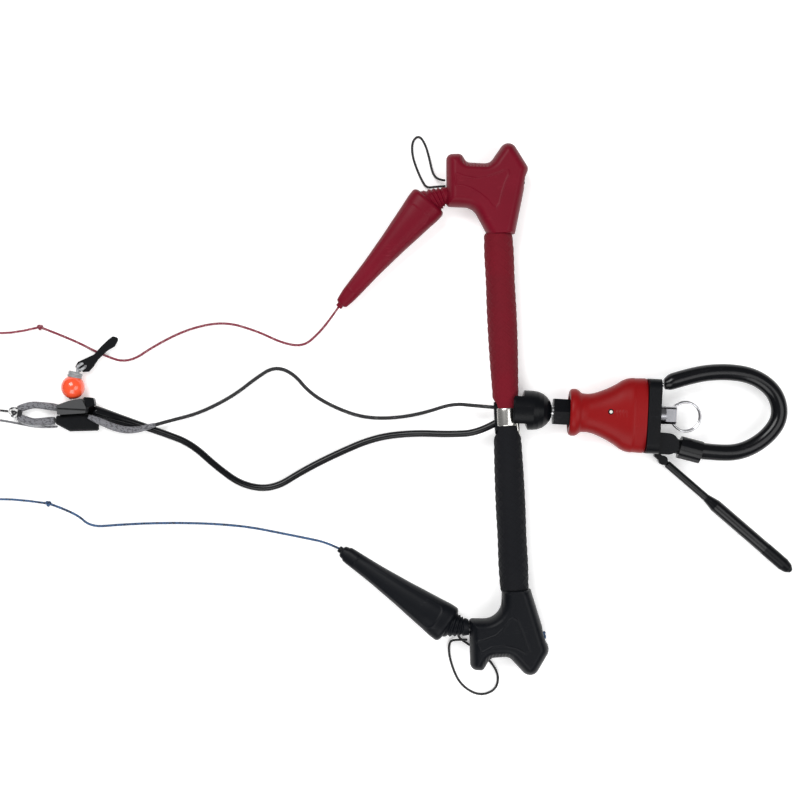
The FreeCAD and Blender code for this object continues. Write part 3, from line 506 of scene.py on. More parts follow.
def webbing_group():
    """Woven webbing: square over-and-under threads of one size on Object coordinates."""
    group, given, out = new_group(
        "Webbing",
        [("Vector", "Vector", None), ("Thread", "Float", 0.0007)],
        [("Height", "Float"), ("Tone", "Float")],
    )
    turned = put(group, "ShaderNodeMapping", {"Vector": given["Vector"], "Rotation": (0.0, 0.0, 0.7)})
    parts = put(group, "ShaderNodeSeparateXYZ", {"Vector": turned.outputs[0]}).outputs
    across = maths(group, "DIVIDE", parts["X"], given["Thread"])
    along = maths(group, "DIVIDE", parts["Y"], given["Thread"])
    waves = [maths(group, "SINE", maths(group, "MULTIPLY", turn, math.pi)) for turn in (across, along)]
    weave = maths(group, "ABSOLUTE", maths(group, "MULTIPLY", *waves))
    fuzz = put(group, "ShaderNodeTexNoise", {"Vector": given["Vector"], "Scale": 900.0, "Detail": 2.0})
    group.links.new(maths(group, "MULTIPLY_ADD", fuzz.outputs["Fac"], 0.4, weave), out["Height"])
    group.links.new(fuzz.outputs["Fac"], out["Tone"])
    return group


# ---- finishes -----------------------------------------------------------------------------


def new_material(name, colour, roughness, metallic=0.0, **sockets):
    """A material with plain values on its shader's sockets, and its tree and shader to add to."""
    material = bpy.data.materials.new(name)
    material.use_nodes = True
    material.diffuse_color = (*colour, 1.0)
    tree = material.node_tree
    shader = tree.nodes["Principled BSDF"]
    shader.inputs["Base Color"].default_value = (*colour, 1.0)
    shader.inputs["Roughness"].default_value = roughness
    shader.inputs["Metallic"].default_value = metallic
    for socket, value in sockets.items():
        shader.inputs[socket.replace("_", " ")].default_value = value
    return tree, shader


def blend_colours(tree, shader, mask, first, second):
    """Makes the Base Color go from the first colour to the second by a mask."""
    mix = put(tree, "ShaderNodeMix", {"Factor": mask, 6: (*first, 1.0), 7: (*second, 1.0)}, data_type="RGBA")
    tree.links.new(mix.outputs[2], shader.inputs["Base Color"])
    return mix


def add_relief(tree, shader, height, strength, distance):
    """Feeds a Bump node to the shader's Normal."""
    bump = put(tree, "ShaderNodeBump", {"Height": height, "Strength": strength, "Distance": distance})
    tree.links.new(bump.outputs[0], shader.inputs["Normal"])


def add_gloss(tree, shader, value, least, most):
    """Makes the Roughness follow a value between two limits."""
    gloss = put(tree, "ShaderNodeMapRange", {"Value": value, "To Min": least, "To Max": most})
    tree.links.new(gloss.outputs[0], shader.inputs["Roughness"])


def tinted(colour, factor):
    """The colour made lighter or darker by a factor."""
    return tuple(min(1.0, c * factor) for c in colour)


def moulded(name, colour, roughness, grain=0.0006, bump=0.12, scuffs=0.35, pale=1.9, **sockets):
    """Moulded plastic or rubber: grain in the bump, patches and scuffs in colour and gloss."""
    tree, shader = new_material(name, colour, roughness, **sockets)
    place = put(tree, "ShaderNodeTexCoord").outputs["Object"]
    skin = effect(tree, "Moulded skin", {"Vector": place, "Grain size": grain})
    scratch = effect(tree, "Scuffs", {"Vector": place, "Amount": scuffs})
    dark, light = (*tinted(colour, 0.82), 1.0), (*tinted(colour, 1.18), 1.0)
    rubbed = (*tinted([c + 0.012 for c in colour], pale), 1.0)
    patches = skin.outputs["Patches"]
    tone = put(tree, "ShaderNodeMix", {"Factor": patches, 6: dark, 7: light}, data_type="RGBA")
    mask = scratch.outputs["Mask"]
    worn = put(tree, "ShaderNodeMix", {"Factor": mask, 6: tone.outputs[2], 7: rubbed}, data_type="RGBA")
    tree.links.new(worn.outputs[2], shader.inputs["Base Color"])
    add_gloss(tree, shader, skin.outputs["Patches"], roughness - 0.06, roughness + 0.06)
    add_relief(tree, shader, skin.outputs["Grain"], bump, 0.0003)


def metal(name, colour, roughness, streak=(40.0, 2400.0, 2400.0), bump=0.05):
    """Metal with fine drawn lines, and gloss that changes slowly."""
    tree, shader = new_material(name, colour, roughness, 1.0)
    place = put(tree, "ShaderNodeTexCoord").outputs["Object"]
    mapping = put(tree, "ShaderNodeMapping", {"Vector": place, "Scale": streak})
    lines = put(tree, "ShaderNodeTexNoise", {"Vector": mapping.outputs[0], "Scale": 1.0, "Detail": 3.0})
    skin = effect(tree, "Moulded skin", {"Vector": place})
    add_gloss(tree, shader, skin.outputs["Patches"], roughness * 0.7, roughness * 1.5)
    blend_colours(tree, shader, lines.outputs["Fac"], tinted(colour, 0.86), colour)
    add_relief(tree, shader, lines.outputs["Fac"], bump, 0.0002)


def braided(name, colour, fleck, share, strands=6.0, pitch=0.0045, roughness=0.7, depth=0.00035, sheen=0.05):
    """Braided cord on its own UV map: strands in the bump, a share of the stitches in a
    second colour, and painted shade that darkens the colour in the grooves between the strands."""
    tree, shader = new_material(name, colour, roughness, Sheen_Weight=sheen)
    uv = put(tree, "ShaderNodeUVMap", uv_map="UVMap").outputs["UV"]
    braid = effect(tree, "Braid", {"UV": uv, "Strands": strands, "Pitch": pitch})
    chosen = maths(tree, "LESS_THAN", braid.outputs["Fleck"], share)
    mix = blend_colours(tree, shader, chosen, colour, fleck)
    height = braid.outputs["Height"]
    # Painted shade: the colour is multiplied by 0.45 to 1 with the braid's height, so it darkens in the grooves
    # between the strands
    hollow = put(tree, "ShaderNodeMapRange", {"Value": height, "To Min": 0.45, "To Max": 1.0})
    shaded = put(
        tree, "ShaderNodeMix", {"Factor": 1.0, 6: mix.outputs[2]}, data_type="RGBA", blend_type="MULTIPLY"
    )
    tree.links.new(hollow.outputs[0], shaded.inputs[7])
    tree.links.new(shaded.outputs[2], shader.inputs["Base Color"])
    add_relief(tree, shader, braid.outputs["Height"], 0.7, depth)


def woven(name, colour, thread=0.0007, roughness=0.85):
    """Sewn webbing and cloth: threads in the bump, and a soft change of tone."""
    tree, shader = new_material(name, colour, roughness, Sheen_Weight=0.03, Specular_IOR_Level=0.2)
    place = put(tree, "ShaderNodeTexCoord").outputs["Object"]
    weave = effect(tree, "Webbing", {"Vector": place, "Thread": thread})
    blend_colours(tree, shader, weave.outputs["Tone"], tinted(colour, 0.6), tinted(colour, 1.5))
    add_relief(tree, shader, weave.outputs["Height"], 0.6, 0.0003)


def foam(name, colour):
    """Grip foam: tiny closed cells, worn a little smoother in patches."""
    tree, shader = new_material(name, colour, 0.8, Sheen_Weight=0.03, Specular_IOR_Level=0.2)
    place = put(tree, "ShaderNodeTexCoord").outputs["Object"]
    cells = put(tree, "ShaderNodeTexVoronoi", {"Vector": place, "Scale": 1500.0})
    skin = effect(tree, "Moulded skin", {"Vector": place})
    blend_colours(tree, shader, skin.outputs["Patches"], tinted(colour, 0.75), tinted(colour, 1.3))
    add_gloss(tree, shader, skin.outputs["Patches"], 0.68, 0.92)
    add_relief(tree, shader, cells.outputs["Distance"], 0.35, 0.0002)


def make_finishes():
    """All the object's materials, with the user's colours."""
    c = bpy.context.scene.kite_bar_colours
    red_foam, red_shell, release_red = c.red_foam, c.red_shell, c.release_red
    foam("Red grip foam", red_foam)
    foam("Black grip foam", c.black_foam)
    dull = {"Specular_IOR_Level": 0.11}
    moulded("Red shell", red_shell, 0.42, grain=0.0005, bump=0.1, scuffs=0.2, **dull)
    moulded("Black shell", c.black_shell, 0.4, grain=0.0005, bump=0.1, scuffs=0.3, **dull)
    moulded("Red release", release_red, 0.36, grain=0.0006, bump=0.08, scuffs=0.3, **dull)
    moulded("Black plastic", c.black_plastic, 0.3, grain=0.0005, bump=0.1, scuffs=0.35, **dull)
    moulded("Loop rubber", c.black_rubber, 0.2, grain=0.0009, bump=0.06, scuffs=0.45, Specular_IOR_Level=0.24)
    moulded("Black tube", c.black_rubber, 0.2, grain=0.0007, bump=0.05, scuffs=0.3, Specular_IOR_Level=0.24)
    moulded("Cleat grey", c.cleat_grey, 0.55, grain=0.0004, bump=0.15, scuffs=0.4)
    moulded("Orange ball", c.orange, 0.22, grain=0.002, bump=0.03, scuffs=0.1, pale=1.2, Coat_Weight=0.6,
            Coat_Roughness=0.08)
    moulded("Ferrule grey", (0.24, 0.25, 0.26), 0.35, grain=0.0004, bump=0.1)
    moulded("White pin", (0.62, 0.6, 0.56), 0.4, grain=0.0004, bump=0.1)
    metal("Brushed insert", (0.66, 0.65, 0.62), 0.22)
    metal("Tube aluminium", (0.6, 0.61, 0.63), 0.35)
    metal("Pin steel", (0.62, 0.62, 0.63), 0.2)
    metal("Chrome ring", (0.6, 0.6, 0.62), 0.12, streak=(300.0, 300.0, 300.0), bump=0.02)
    metal("Clevis steel", (0.3, 0.3, 0.32), 0.2, streak=(200.0, 1500.0, 1500.0))
    woven("Black webbing", c.black_plastic)
    braided("Red leader cord", c.red_cord, (0.36, 0.14, 0.16), 0.22, strands=5, pitch=0.002)
    braided("Red flying line", tinted(c.red_cord, 1.1), (0.4, 0.12, 0.14), 0.12, strands=4, pitch=0.003)
    braided("Blue leader cord", c.blue_cord, (0.012, 0.025, 0.06), 0.3, strands=5, pitch=0.002)
    braided("Blue flying line", c.blue_cord, (0.015, 0.02, 0.04), 0.25, strands=4, pitch=0.003)
    braided("Dark flying line", (0.02, 0.02, 0.022), (0.1, 0.1, 0.1), 0.12, strands=4, pitch=0.003)
    braided("Grey flying line", tinted(c.grey_cord, 0.8), (0.06, 0.06, 0.065), 0.2, strands=4, pitch=0.003)
    braided("Black braid", (0.007, 0.007, 0.009), (0.05, 0.05, 0.052), 0.1, strands=6, pitch=0.005)
    braided("Bungee cord", (0.005, 0.005, 0.006), (0.02, 0.02, 0.022), 0.2, strands=5, pitch=0.0035)
    braided("Grey sleeve", c.grey_cord, (0.09, 0.09, 0.1), 0.35, strands=16, pitch=0.0022, depth=0.0003)
    braided("Speckled knot", (0.015, 0.015, 0.017), (0.75, 0.75, 0.75), 0.42, strands=5, pitch=0.0024)
    braided("Pale cord", (0.5, 0.51, 0.53), (0.2, 0.2, 0.21), 0.2, strands=6, pitch=0.004)


CAD_FINISHES = {
    "bar_tube": "Tube aluminium", "centre_bushing": "Black plastic",
    "float_root_red": "Loop rubber", "float_root_black": "Loop rubber",
    "stopper_ball": "Black plastic", "swivel_stem": "Pin steel", "swivel_neck": "Black plastic",
    "qr_core": "Black plastic", "qr_plate": "Black plastic", "loop_spigot": "Pin steel",
    "loop_knuckle": "Black plastic", "loop_cuff": "Loop rubber", "loop_bracket": "Black plastic",
    "loop_pin": "Black plastic", "leash_post": "Pin steel", "leash_clevis": "Clevis steel",
    "locking_finger": "Loop rubber", "finger_tip": "Black plastic",
    "finger_anchor": "Black plastic", "cleat_shell": "Cleat grey", "cleat_lever": "Black plastic",
}


# ---- cords --------------------------------------------------------------------------------

DEPOWER_ROUTE = [
    (-0.3895, -0.0206, 0.0066), (-0.374, -0.025, 0.0042), (-0.35, -0.031, 0.0035),
    (-0.322, -0.039, 0.0035), (-0.296, -0.0475, 0.0035), (-0.27, -0.069, 0.0035),
    (-0.245, -0.085, 0.0035), (-0.216, -0.087, 0.0035), (-0.188, -0.0675, 0.0035),
    (-0.158, -0.0505, 0.0035), (-0.122, -0.033, 0.0035), (-0.086, -0.027, 0.005),
    (-0.052, -0.0265, 0.013), (-0.024, -0.0235, 0.02), (-0.006, -0.0115, 0.0205),
]
FLAG_ROUTE = [
    (-0.3925, -0.0262, 0.0165), (-0.3815, -0.0305, 0.0148), (-0.3695, -0.0352, 0.0115),
    (-0.357, -0.0378, 0.0108), (-0.3445, -0.0362, 0.0106), (-0.3315, -0.0316, 0.009),
    (-0.316, -0.0264, 0.0054),
    (-0.289, -0.018, 0.0019), (-0.258, 0, 0.0019), (-0.238, 0.0175, 0.0019),
    (-0.221, 0.0295, 0.0019), (-0.203, 0.0245, 0.0019), (-0.186, 0.006, 0.0019),
    (-0.162, -0.0065, 0.0019), (-0.134, -0.015, 0.0019), (-0.104, -0.014, 0.0019),
    (-0.076, -0.0075, 0.004), (-0.05, 0.0028, 0.011), (-0.028, 0.0016, 0.0186),
    (-0.008, 0.001, 0.0205),
]
RED_LEADER_ROUTE = [
    (-0.1624, 0.0888, 0.0069), (-0.17, 0.077, 0.0036), (-0.1805, 0.063, 0.0012),
    (-0.194, 0.05, 0.0012), (-0.214, 0.052, 0.0012), (-0.239, 0.0625, 0.0012),
    (-0.27, 0.07, 0.0012), (-0.303, 0.062, 0.0012), (-0.334, 0.045, 0.0012),
    (-0.36, 0.0255, 0.0012), (-0.386, 0.033, 0.0012), (-0.414, 0.046, 0.0012),
    (-0.445, 0.056, 0.0012),
]
BLUE_LEADER_ROUTE = [
    (-0.1509, -0.1397, 0.0074), (-0.163, -0.1348, 0.0046), (-0.182, -0.132, 0.0018),
    (-0.206, -0.1285, 0.0012), (-0.24, -0.1235, 0.0012), (-0.282, -0.1225, 0.0012),
    (-0.326, -0.1245, 0.0012), (-0.362, -0.128, 0.0012), (-0.388, -0.1315, 0.0012),
    (-0.403, -0.1185, 0.0012), (-0.429, -0.111, 0.0012),
]
RED_LINE_ROUTE = [
    (-0.446, 0.056, 0.0012), (-0.478, 0.0465, 0.0012), (-0.499, 0.052, 0.0012),
    (-0.511, 0.07, 0.0014), (-0.513, 0.092, 0.003),
]
BLUE_LINE_ROUTE = [
    (-0.43, -0.111, 0.0012), (-0.471, -0.107, 0.0012), (-0.498, -0.114, 0.0012),
    (-0.511, -0.138, 0.0014), (-0.513, -0.168, 0.003),
]
POWER_LINE_ROUTE = [
    (-0.4716, -0.0252, 0.0022), (-0.482, -0.0248, 0.0012), (-0.497, -0.024, 0.0012),
    (-0.509, -0.015, 0.0014), (-0.513, -0.002, 0.003),
]
SAFETY_LINE_ROUTE = [
    (-0.423, -0.0374, 0.0074), (-0.44, -0.0394, 0.0026), (-0.462, -0.0364, 0.0012),
    (-0.486, -0.033, 0.0012), (-0.502, -0.042, 0.0012), (-0.511, -0.06, 0.0014),
    (-0.513, -0.084, 0.003),
]
RED_BUNGEE_ROUTE = [
    (-0.0672, 0.2074, 0.012), (-0.076, 0.207, 0.008), (-0.085, 0.206, 0.003),
    (-0.09, 0.214, 0.0014), (-0.095, 0.224, 0.0014), (-0.1, 0.237, 0.0014),
    (-0.1005, 0.25, 0.0014), (-0.094, 0.256, 0.0014), (-0.0875, 0.247, 0.0014),
    (-0.083, 0.233, 0.0014), (-0.08, 0.221, 0.0026), (-0.075, 0.214, 0.007),
    (-0.0678, 0.213, 0.011),
]
BLACK_BUNGEE_ROUTE = [
    (-0.0258, -0.2194, 0.012), (-0.034, -0.2206, 0.007), (-0.042, -0.2225, 0.0024),
    (-0.042, -0.235, 0.0014), (-0.037, -0.25, 0.0014), (-0.03, -0.2625, 0.0014),
    (-0.018, -0.271, 0.0014), (-0.006, -0.2725, 0.0014), (0.005, -0.266, 0.0014),
    (0.0065, -0.253, 0.0014), (-0.001, -0.241, 0.0014), (-0.012, -0.232, 0.0014),
    (-0.024, -0.225, 0.0014), (-0.0335, -0.219, 0.0026), (-0.034, -0.214, 0.007),
    (-0.0266, -0.2134, 0.01),
]
LOOP_ROUTE = [
    (0.1725, -0.0294, 0.0205), (0.2, -0.0318, 0.0205), (0.224, -0.0294, 0.0205),
    (0.246, -0.015, 0.0205), (0.2585, 0.005, 0.0205), (0.2525, 0.028, 0.0205),
    (0.232, 0.0425, 0.0205), (0.205, 0.0456, 0.0205), (0.174, 0.0412, 0.0205),
    (0.1464, 0.0304, 0.0205),
]
UPPER_STRAND_ROUTE = [
    (-0.4234, -0.0194, 0.0084), (-0.437, -0.0182, 0.0062), (-0.4505, -0.0178, 0.0046),
    (-0.461, -0.0228, 0.0054),
]
LOWER_STRAND_ROUTE = [
    (-0.4258, -0.0314, 0.007), (-0.438, -0.0334, 0.0054), (-0.45, -0.0342, 0.0046),
    (-0.461, -0.03, 0.0052),
]
COIL_X = -0.562
COILS = {
    "red": {"y": 0.108, "way": 1, "route": RED_LINE_ROUTE, "material": "Red flying line"},
    "power": {"y": 0.005, "way": 1, "route": POWER_LINE_ROUTE, "material": "Dark flying line"},
    "safety": {"y": -0.1, "way": -1, "route": SAFETY_LINE_ROUTE, "material": "Grey flying line"},
    "blue": {"y": -0.204, "way": -1, "route": BLUE_LINE_ROUTE, "material": "Blue flying line"},
}
COIL_MIDDLE = 0.041475
COIL_UP = 0.01055


def cord_tube(name, path, diameter, material, body="bar", around=14, widen=None, replaced=()):
    """A cord's skin: a ring of half the diameter carried along the path, made wider near its
    start by widen(length along it)."""
    radius = np.full(len(path), diameter / 2)
    if widen:
        radius = radius + widen(lengths_along(path))
    mesh = ring_mesh(name, sweep(path, radius, around=around), lengths_along(path))
    return add_piece(name, body, mesh, material, replaced)


def coil_points(centre, way, turns):
    """Control points of a coil: eight to a turn, at an angle of 45 degrees each from the side
    where the line comes in. Turn n lies in row n // 8 of ten. Even rows go inwards by 2.1 mm a
    turn and odd rows outwards, half a step nested, and each row lies 1.9 mm above the last. The
    points stand 1 / 0.925 outside the turn, which the spline cuts inside."""
    turn = np.arange(turns + 1)
    row, column = turn // 8, turn % 8
    radius = np.where(row % 2 == 0, 0.04935 - 0.0021 * column, 0.0336 + 0.0021 * column)
    height = 0.002 + 0.0019 * row
    count = np.arange(8 * turns)
    n, share = count // 8, (count % 8) / 8
    late = np.clip((share - 0.75) / 0.25, 0, 1)
    r = radius[n] + (radius[n + 1] - radius[n]) * late
    z = height[n] + (height[n + 1] - height[n]) * late
    angle = way * (math.radians(22.5) + count * math.pi / 4)
    x, y = centre
    return np.stack([x + r / 0.925 * np.cos(angle), y + r / 0.925 * np.sin(angle), z], axis=-1)


def band_mesh(name, centre, angle, width=0.011):
    """A tie round a coil's section: point (i, j) is at share j round a squared ellipse
    (|cos|^0.5, |sin|^0.5 with their signs) of half size h about the section's middle, and i goes
    out along the outer face, across, and back along the inner one."""
    turn = whole_turn(48)
    ca, sa = powered(np.cos(turn), 0.5), powered(np.sin(turn), 0.5)
    offset = np.array([-0.5, -0.46, 0.46, 0.5, 0.5, -0.5]) * width
    half = np.array([0.0100, 0.01035, 0.01035, 0.0100, 0.0096, 0.0096])
    out = np.array([math.cos(angle), math.sin(angle), 0])
    ahead = np.array([-math.sin(angle), math.cos(angle), 0])
    middle = np.array([*centre, COIL_UP]) + out * COIL_MIDDLE
    rings = (
        middle + offset[:, None, None] * ahead
        + half[:, None, None] * (ca[None, :, None] * out + sa[None, :, None] * np.array([0, 0, 1.0]))
    )
    rings = np.concatenate([rings, rings[:1]])
    mesh = ring_mesh(name, from_pivot(rings), ends=False)
    return mesh


class KITEBAR_OT_flying_lines(bpy.types.Operator):
    """Makes the four flying lines, each one cord from its knot to the end of its coil"""

    bl_idname = "kitebar.flying_lines"
    bl_label = "Flying lines"

    def execute(self, context):
        sizes = context.scene.kite_bar_sizes
        for key, facts in COILS.items():
            coil = coil_points((COIL_X, facts["y"]), facts["way"], sizes.coil_turns)
            tail = coil[-1] + [0, 0, 0.0003]
            path = read_spline(from_pivot(np.vstack([facts["route"], coil, tail])), resolution=4)
            name = f"flying_line_{key}"
            body = None if key == "power" else "bar"
            line = cord_tube(name, path, sizes.flying_line, facts["material"], body, around=8,
                             replaced=(f"line_{key}", f"coil_{key}"))
            if key == "power":
                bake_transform(line)
            end = knot_rings(0.0034, 0.0011) + path[-1] + [0, 0, 0.0014]
            knot = add_piece(f"line_end_{key}", "bar", ring_mesh(f"line_end_{key}", end, ends=False),
                             facts["material"])
            for number, degrees in enumerate((100, 215, 325)):
                tie = f"coil_tie_{key}_{number + 1}"
                mesh = band_mesh(tie, (COIL_X, facts["y"]), math.radians(degrees))
                add_piece(tie, "bar", mesh, "Black webbing")
        return {"FINISHED"}


class KITEBAR_OT_leaders(bpy.types.Operator):
    """Makes the two leaders, which leave the floats' tips and are knotted to the flying lines"""

    bl_idname = "kitebar.leaders"
    bl_label = "Leaders"

    def execute(self, context):
        for colour, key, route, length in (
            ("red", "red", RED_LEADER_ROUTE, 0.309), ("black", "blue", BLUE_LEADER_ROUTE, 0.283),
        ):
            path = read_spline(from_pivot(route))
            name = f"{key}_leader"
            leader = cord_tube(name, path, 0.0022, f"{key.title()} leader cord", body=None,
                               replaced=(f"leader_{key}",))
            rings = knot_rings(0.0022, 0.0009) + path[-1] + [0, 0, 0.0012]
            knot = add_piece(f"{key}_join", "bar", ring_mesh(f"{key}_join", rings, ends=False),
                             f"{key.title()} leader cord")
            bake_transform(leader)
        return {"FINISHED"}


class KITEBAR_OT_centre_lines(bpy.types.Operator):
    """Makes the depower tube and the flag line, and their lengths inside the hole of the bar"""

    bl_idname = "kitebar.centre_lines"
    bl_label = "Centre lines"

    def execute(self, context):
        path = read_spline(from_pivot(DEPOWER_ROUTE))
        tube = cord_tube("depower_line", path, 0.0065, "Black tube", around=24,
                         widen=lambda s: 0.0022 * np.exp(-((s / 0.032) ** 2)), replaced=("depower_tube",))
        buried = read_spline(from_pivot([
            (-0.3905, -0.0262, 0.0108), (-0.378, -0.0285, 0.0102), (-0.365, -0.0315, 0.0088),
            (-0.352, -0.034, 0.0068), (-0.341, -0.0348, 0.005),
        ]))
        tail = cord_tube("depower_splice", buried, 0.0044, "Black tube", around=20,
                         widen=lambda s: 0.0006 - 0.0016 * np.clip((s - 0.03) / 0.022, 0, 1) ** 2)
        path = read_spline(from_pivot(FLAG_ROUTE))
        s = lengths_along(path)
        flag = cord_tube("flag_cord", path, 0.0034, "Black braid", around=16, replaced=("flag_line",))
        covered = path[s < 0.066]
        along = lengths_along(covered) / 0.066
        wide = 0.0019 + 0.0016 * np.sin(np.clip(along, 0, 1) ** 0.8 * math.pi) ** 0.7
        sleeve = add_piece("flag_splice", "bar", ring_mesh("flag_splice", sweep(covered, wide, around=24)),
                           "Grey sleeve", ("flag_sleeve",))
        for name, node, across, diameter, material in (
            ("through_depower", "through_tube", -0.003, 0.0065, "Black tube"),
            ("through_safety", "through_flag", 0.0021, 0.0034, "Black braid"),
        ):
            x = np.linspace(-0.004, 0.031, 71)
            path = from_pivot(np.stack([x, np.full_like(x, across), np.full_like(x, AXIS)], axis=-1))
            line = cord_tube(name, path, diameter, material, body=None, around=20, replaced=(node,))
            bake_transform(line)
        return {"FINISHED"}


class KITEBAR_OT_bungees(bpy.types.Operator):
    """Makes the elastic loops at the bar ends, which hold wound-up lines"""

    bl_idname = "kitebar.bungees"
    bl_label = "Bungee loops"

    def execute(self, context):
        for colour, route, length in (("red", RED_BUNGEE_ROUTE, 0.128), ("black", BLACK_BUNGEE_ROUTE, 0.172)):
            path = read_spline(from_pivot(route))
            loop = cord_tube(f"bungee_loop_{colour}", path, 0.0022, "Bungee cord",
                             replaced=(f"bungee_{colour}",))
        return {"FINISHED"}


class KITEBAR_OT_trim_lines(bpy.types.Operator):
    """Makes the sleeved trim strands, the knot that joins them and the cord of the pull"""

    bl_idname = "kitebar.trim_lines"
    bl_label = "Trim lines"

    def execute(self, context):
        for word, route in (("upper", UPPER_STRAND_ROUTE), ("lower", LOWER_STRAND_ROUTE)):
            path = read_spline(from_pivot(route), resolution=16)
            s = lengths_along(path)
            share = s / s[-1]
            bulge = 1 + 0.04 * np.sin(share * 9)
            bulge -= 0.08 * np.exp(-share / 0.05) + 0.08 * np.exp((share - 1) / 0.08)
            name = f"trim_sleeve_{word}"
            mesh = ring_mesh(name, sweep(path, 0.0034 * bulge, around=36), s)
            strand = add_piece(name, None, mesh, "Grey sleeve", (f"trim_strand_{word}",))
            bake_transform(strand)
            if word == "lower":
                lace = read_spline(from_pivot(np.array(route) + [0, -0.0039, -0.0012]), resolution=12)
                piece = cord_tube("trim_lacing", lace, 0.0021, "Pale cord", None, around=12)
                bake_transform(piece)
        rings = knot_rings(0.0036, 0.0022, around=14, steps=120) + from_pivot((-0.4648, -0.0258, 0.0056))
        mesh = ring_mesh("trim_knot_cord", rings, ends=False)
        add_piece("trim_knot_cord", "trim_anchor", mesh, "Speckled knot", ("trim_knot",))
        path = from_pivot(np.linspace((-0.4612, -0.0262, 0.0053), (-0.4578, -0.0266, 0.0051), 41))
        turns = 1 + 0.07 * np.abs(np.sin(np.linspace(0, 5 * math.pi, 41)))
        mesh = ring_mesh("trim_whipping", sweep(path, 0.0062 * turns, 0.0036 * turns, around=36))
        add_piece("trim_whipping", "trim_anchor", mesh, "Black braid")
        first = [(-0.4115, -0.0108, 0.0105), (-0.4105, -0.007, 0.011), (-0.4098, -0.003, 0.0112),
                 (-0.409, 0.002, 0.0112), (-0.4082, 0.0075, 0.011), (-0.407, 0.0125, 0.0108),
                 (-0.4058, 0.0155, 0.0106), (-0.4062, 0.0185, 0.0102), (-0.4055, 0.0215, 0.0094),
                 (-0.4015, 0.0238, 0.0078)]
        second = [(-0.4066, 0.0135, 0.0108), (-0.4048, 0.0158, 0.011), (-0.402, 0.0178, 0.0104),
                  (-0.3998, 0.0198, 0.009), (-0.398, 0.022, 0.0072)]
        path = read_spline(from_pivot(first), resolution=12)
        pull = cord_tube("trim_cord", path, 0.0028, "Pale cord", None, around=16)
        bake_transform(pull)
        loop = cord_tube("trim_cord_return", read_spline(from_pivot(second), resolution=12), 0.0028,
                         "Pale cord", "trim_pull", around=16)
        return {"FINISHED"}


# ---- the bar ------------------------------------------------------------------------------


class KITEBAR_OT_grips(bpy.types.Operator):
    """Makes the foam grips: a revolved outline with raised crossing lines, notched round the
    metal insert"""

    bl_idname = "kitebar.grips"
    bl_label = "Grips"

    def execute(self, context):
        sizes = context.scene.kite_bar_sizes
        for colour, side, first, last in (("red", 1, 0.0006, 0.1653), ("black", -1, 0.0154, 0.1709)):
            name = f"grip_foam_{colour}"
            mesh = self.skin(name, side, first, last, sizes)
            grip = add_piece(name, "bar", mesh, f"{colour.title()} grip foam", (f"grip_{colour}",))
        return {"FINISHED"}

    def skin(self, name, side, first, last, sizes, rows=400, around=184):
        """Point (i, j) is at angle a = 2 pi j / around and at u from its own start to the end.
        Radius = smooth outline + ridges where (u +- round * a) passes a whole pitch. The start
        is pushed back by sqrt(8.25^2 - z^2) mm round the mouth of the insert."""
        angle = whole_turn(around)
        mouth = 0.001 if side > 0 else 0.017
        z = 0.0118 * np.sin(angle)
        start = np.maximum(first, mouth + np.sqrt(np.maximum(0.00825**2 - z**2, 0)))
        start = np.where(np.abs(z) < 0.00825, start, first)
        t = np.linspace(0, 1, rows)[:, None]
        u = start + (last - start) * t
        radius = through([first, 0.018, 0.042, 0.068, 0.092, 0.12, 0.145, last],
                         [0.01175, 0.0121, 0.0130, 0.0136, 0.01375, 0.0134, 0.0137, 0.0130], u)
        radius -= 0.0007 * np.exp(-(t * 400 / 3) ** 2) + 0.0006 * np.exp(-((1 - t) * 400 / 3) ** 2)
        turns = round(2 * math.pi * 0.0133 / sizes.diamond)
        cross = turns * angle / (2 * math.pi)
        ridges = [np.abs((lane + 0.5) % 1 - 0.5) * sizes.diamond * 0.7071
                  for lane in (u / sizes.diamond + cross, u / sizes.diamond - cross)]
        raised = np.exp(-(np.minimum(*ridges) / 0.0005) ** 2)
        clear = np.clip((u - start) / 0.002, 0, 1) * np.clip((last - u) / 0.002, 0, 1)
        radius = radius + sizes.diamond_height * raised * clear
        inner = np.full((1, around), 0.00905)
        radius = np.vstack([inner, radius, inner, inner])
        u = np.vstack([u[:1], u, u[-1:], u[:1]])
        rings = from_bar(radius * np.cos(angle), side * u, radius * np.sin(angle))
        rings[-1] = rings[0]
        mesh = ring_mesh(name, rings, lengths=np.append(np.linspace(0, 0.165, rows + 2), 0.33), ends=False)
        return welded(mesh)


# Corners of the bar ends and of the raised lines on them: v, u and the corner's radius.
RED_END = [
    (-0.0102, 0.1637, 0.0015), (0.0158, 0.1637, 0.0015), (0.0312, 0.2253, 0.006),
    (0.0141, 0.2562, 0.0083), (-0.005, 0.231, 0.009), (-0.0266, 0.233, 0.006),
    (-0.0309, 0.2414, 0.0055), (-0.0453, 0.2418, 0.0058),
    (-0.0473, 0.1923, 0.003), (-0.0229, 0.1902, 0.014),
]
BLACK_END = [
    (-0.0121, 0.1694, 0.0015), (0.0151, 0.1694, 0.0015), (0.0304, 0.2282, 0.011),
    (0.0121, 0.2565, 0.0089), (-0.008, 0.2325, 0.009), (-0.0254, 0.2327, 0.008),
    (-0.0329, 0.2441, 0.004), (-0.0449, 0.2431, 0.0065), (-0.0439, 0.1947, 0.003),
    (-0.0134, 0.1965, 0.017),
]
RED_CONTOUR = [
    (-0.0372, 0.2217), (-0.0304, 0.2188), (-0.0188, 0.216), (-0.0086, 0.2169), (0.0009, 0.2196),
    (0.0072, 0.222), (0.0111, 0.2221), (0.0119, 0.2183), (0.0083, 0.2114), (0.0047, 0.2015),
    (0.002, 0.1922), (-0.0014, 0.1873), (-0.0052, 0.1894), (-0.0088, 0.1951), (-0.0155, 0.2016),
    (-0.0246, 0.2075), (-0.0323, 0.2102), (-0.0376, 0.2108), (-0.0383, 0.2159),
]
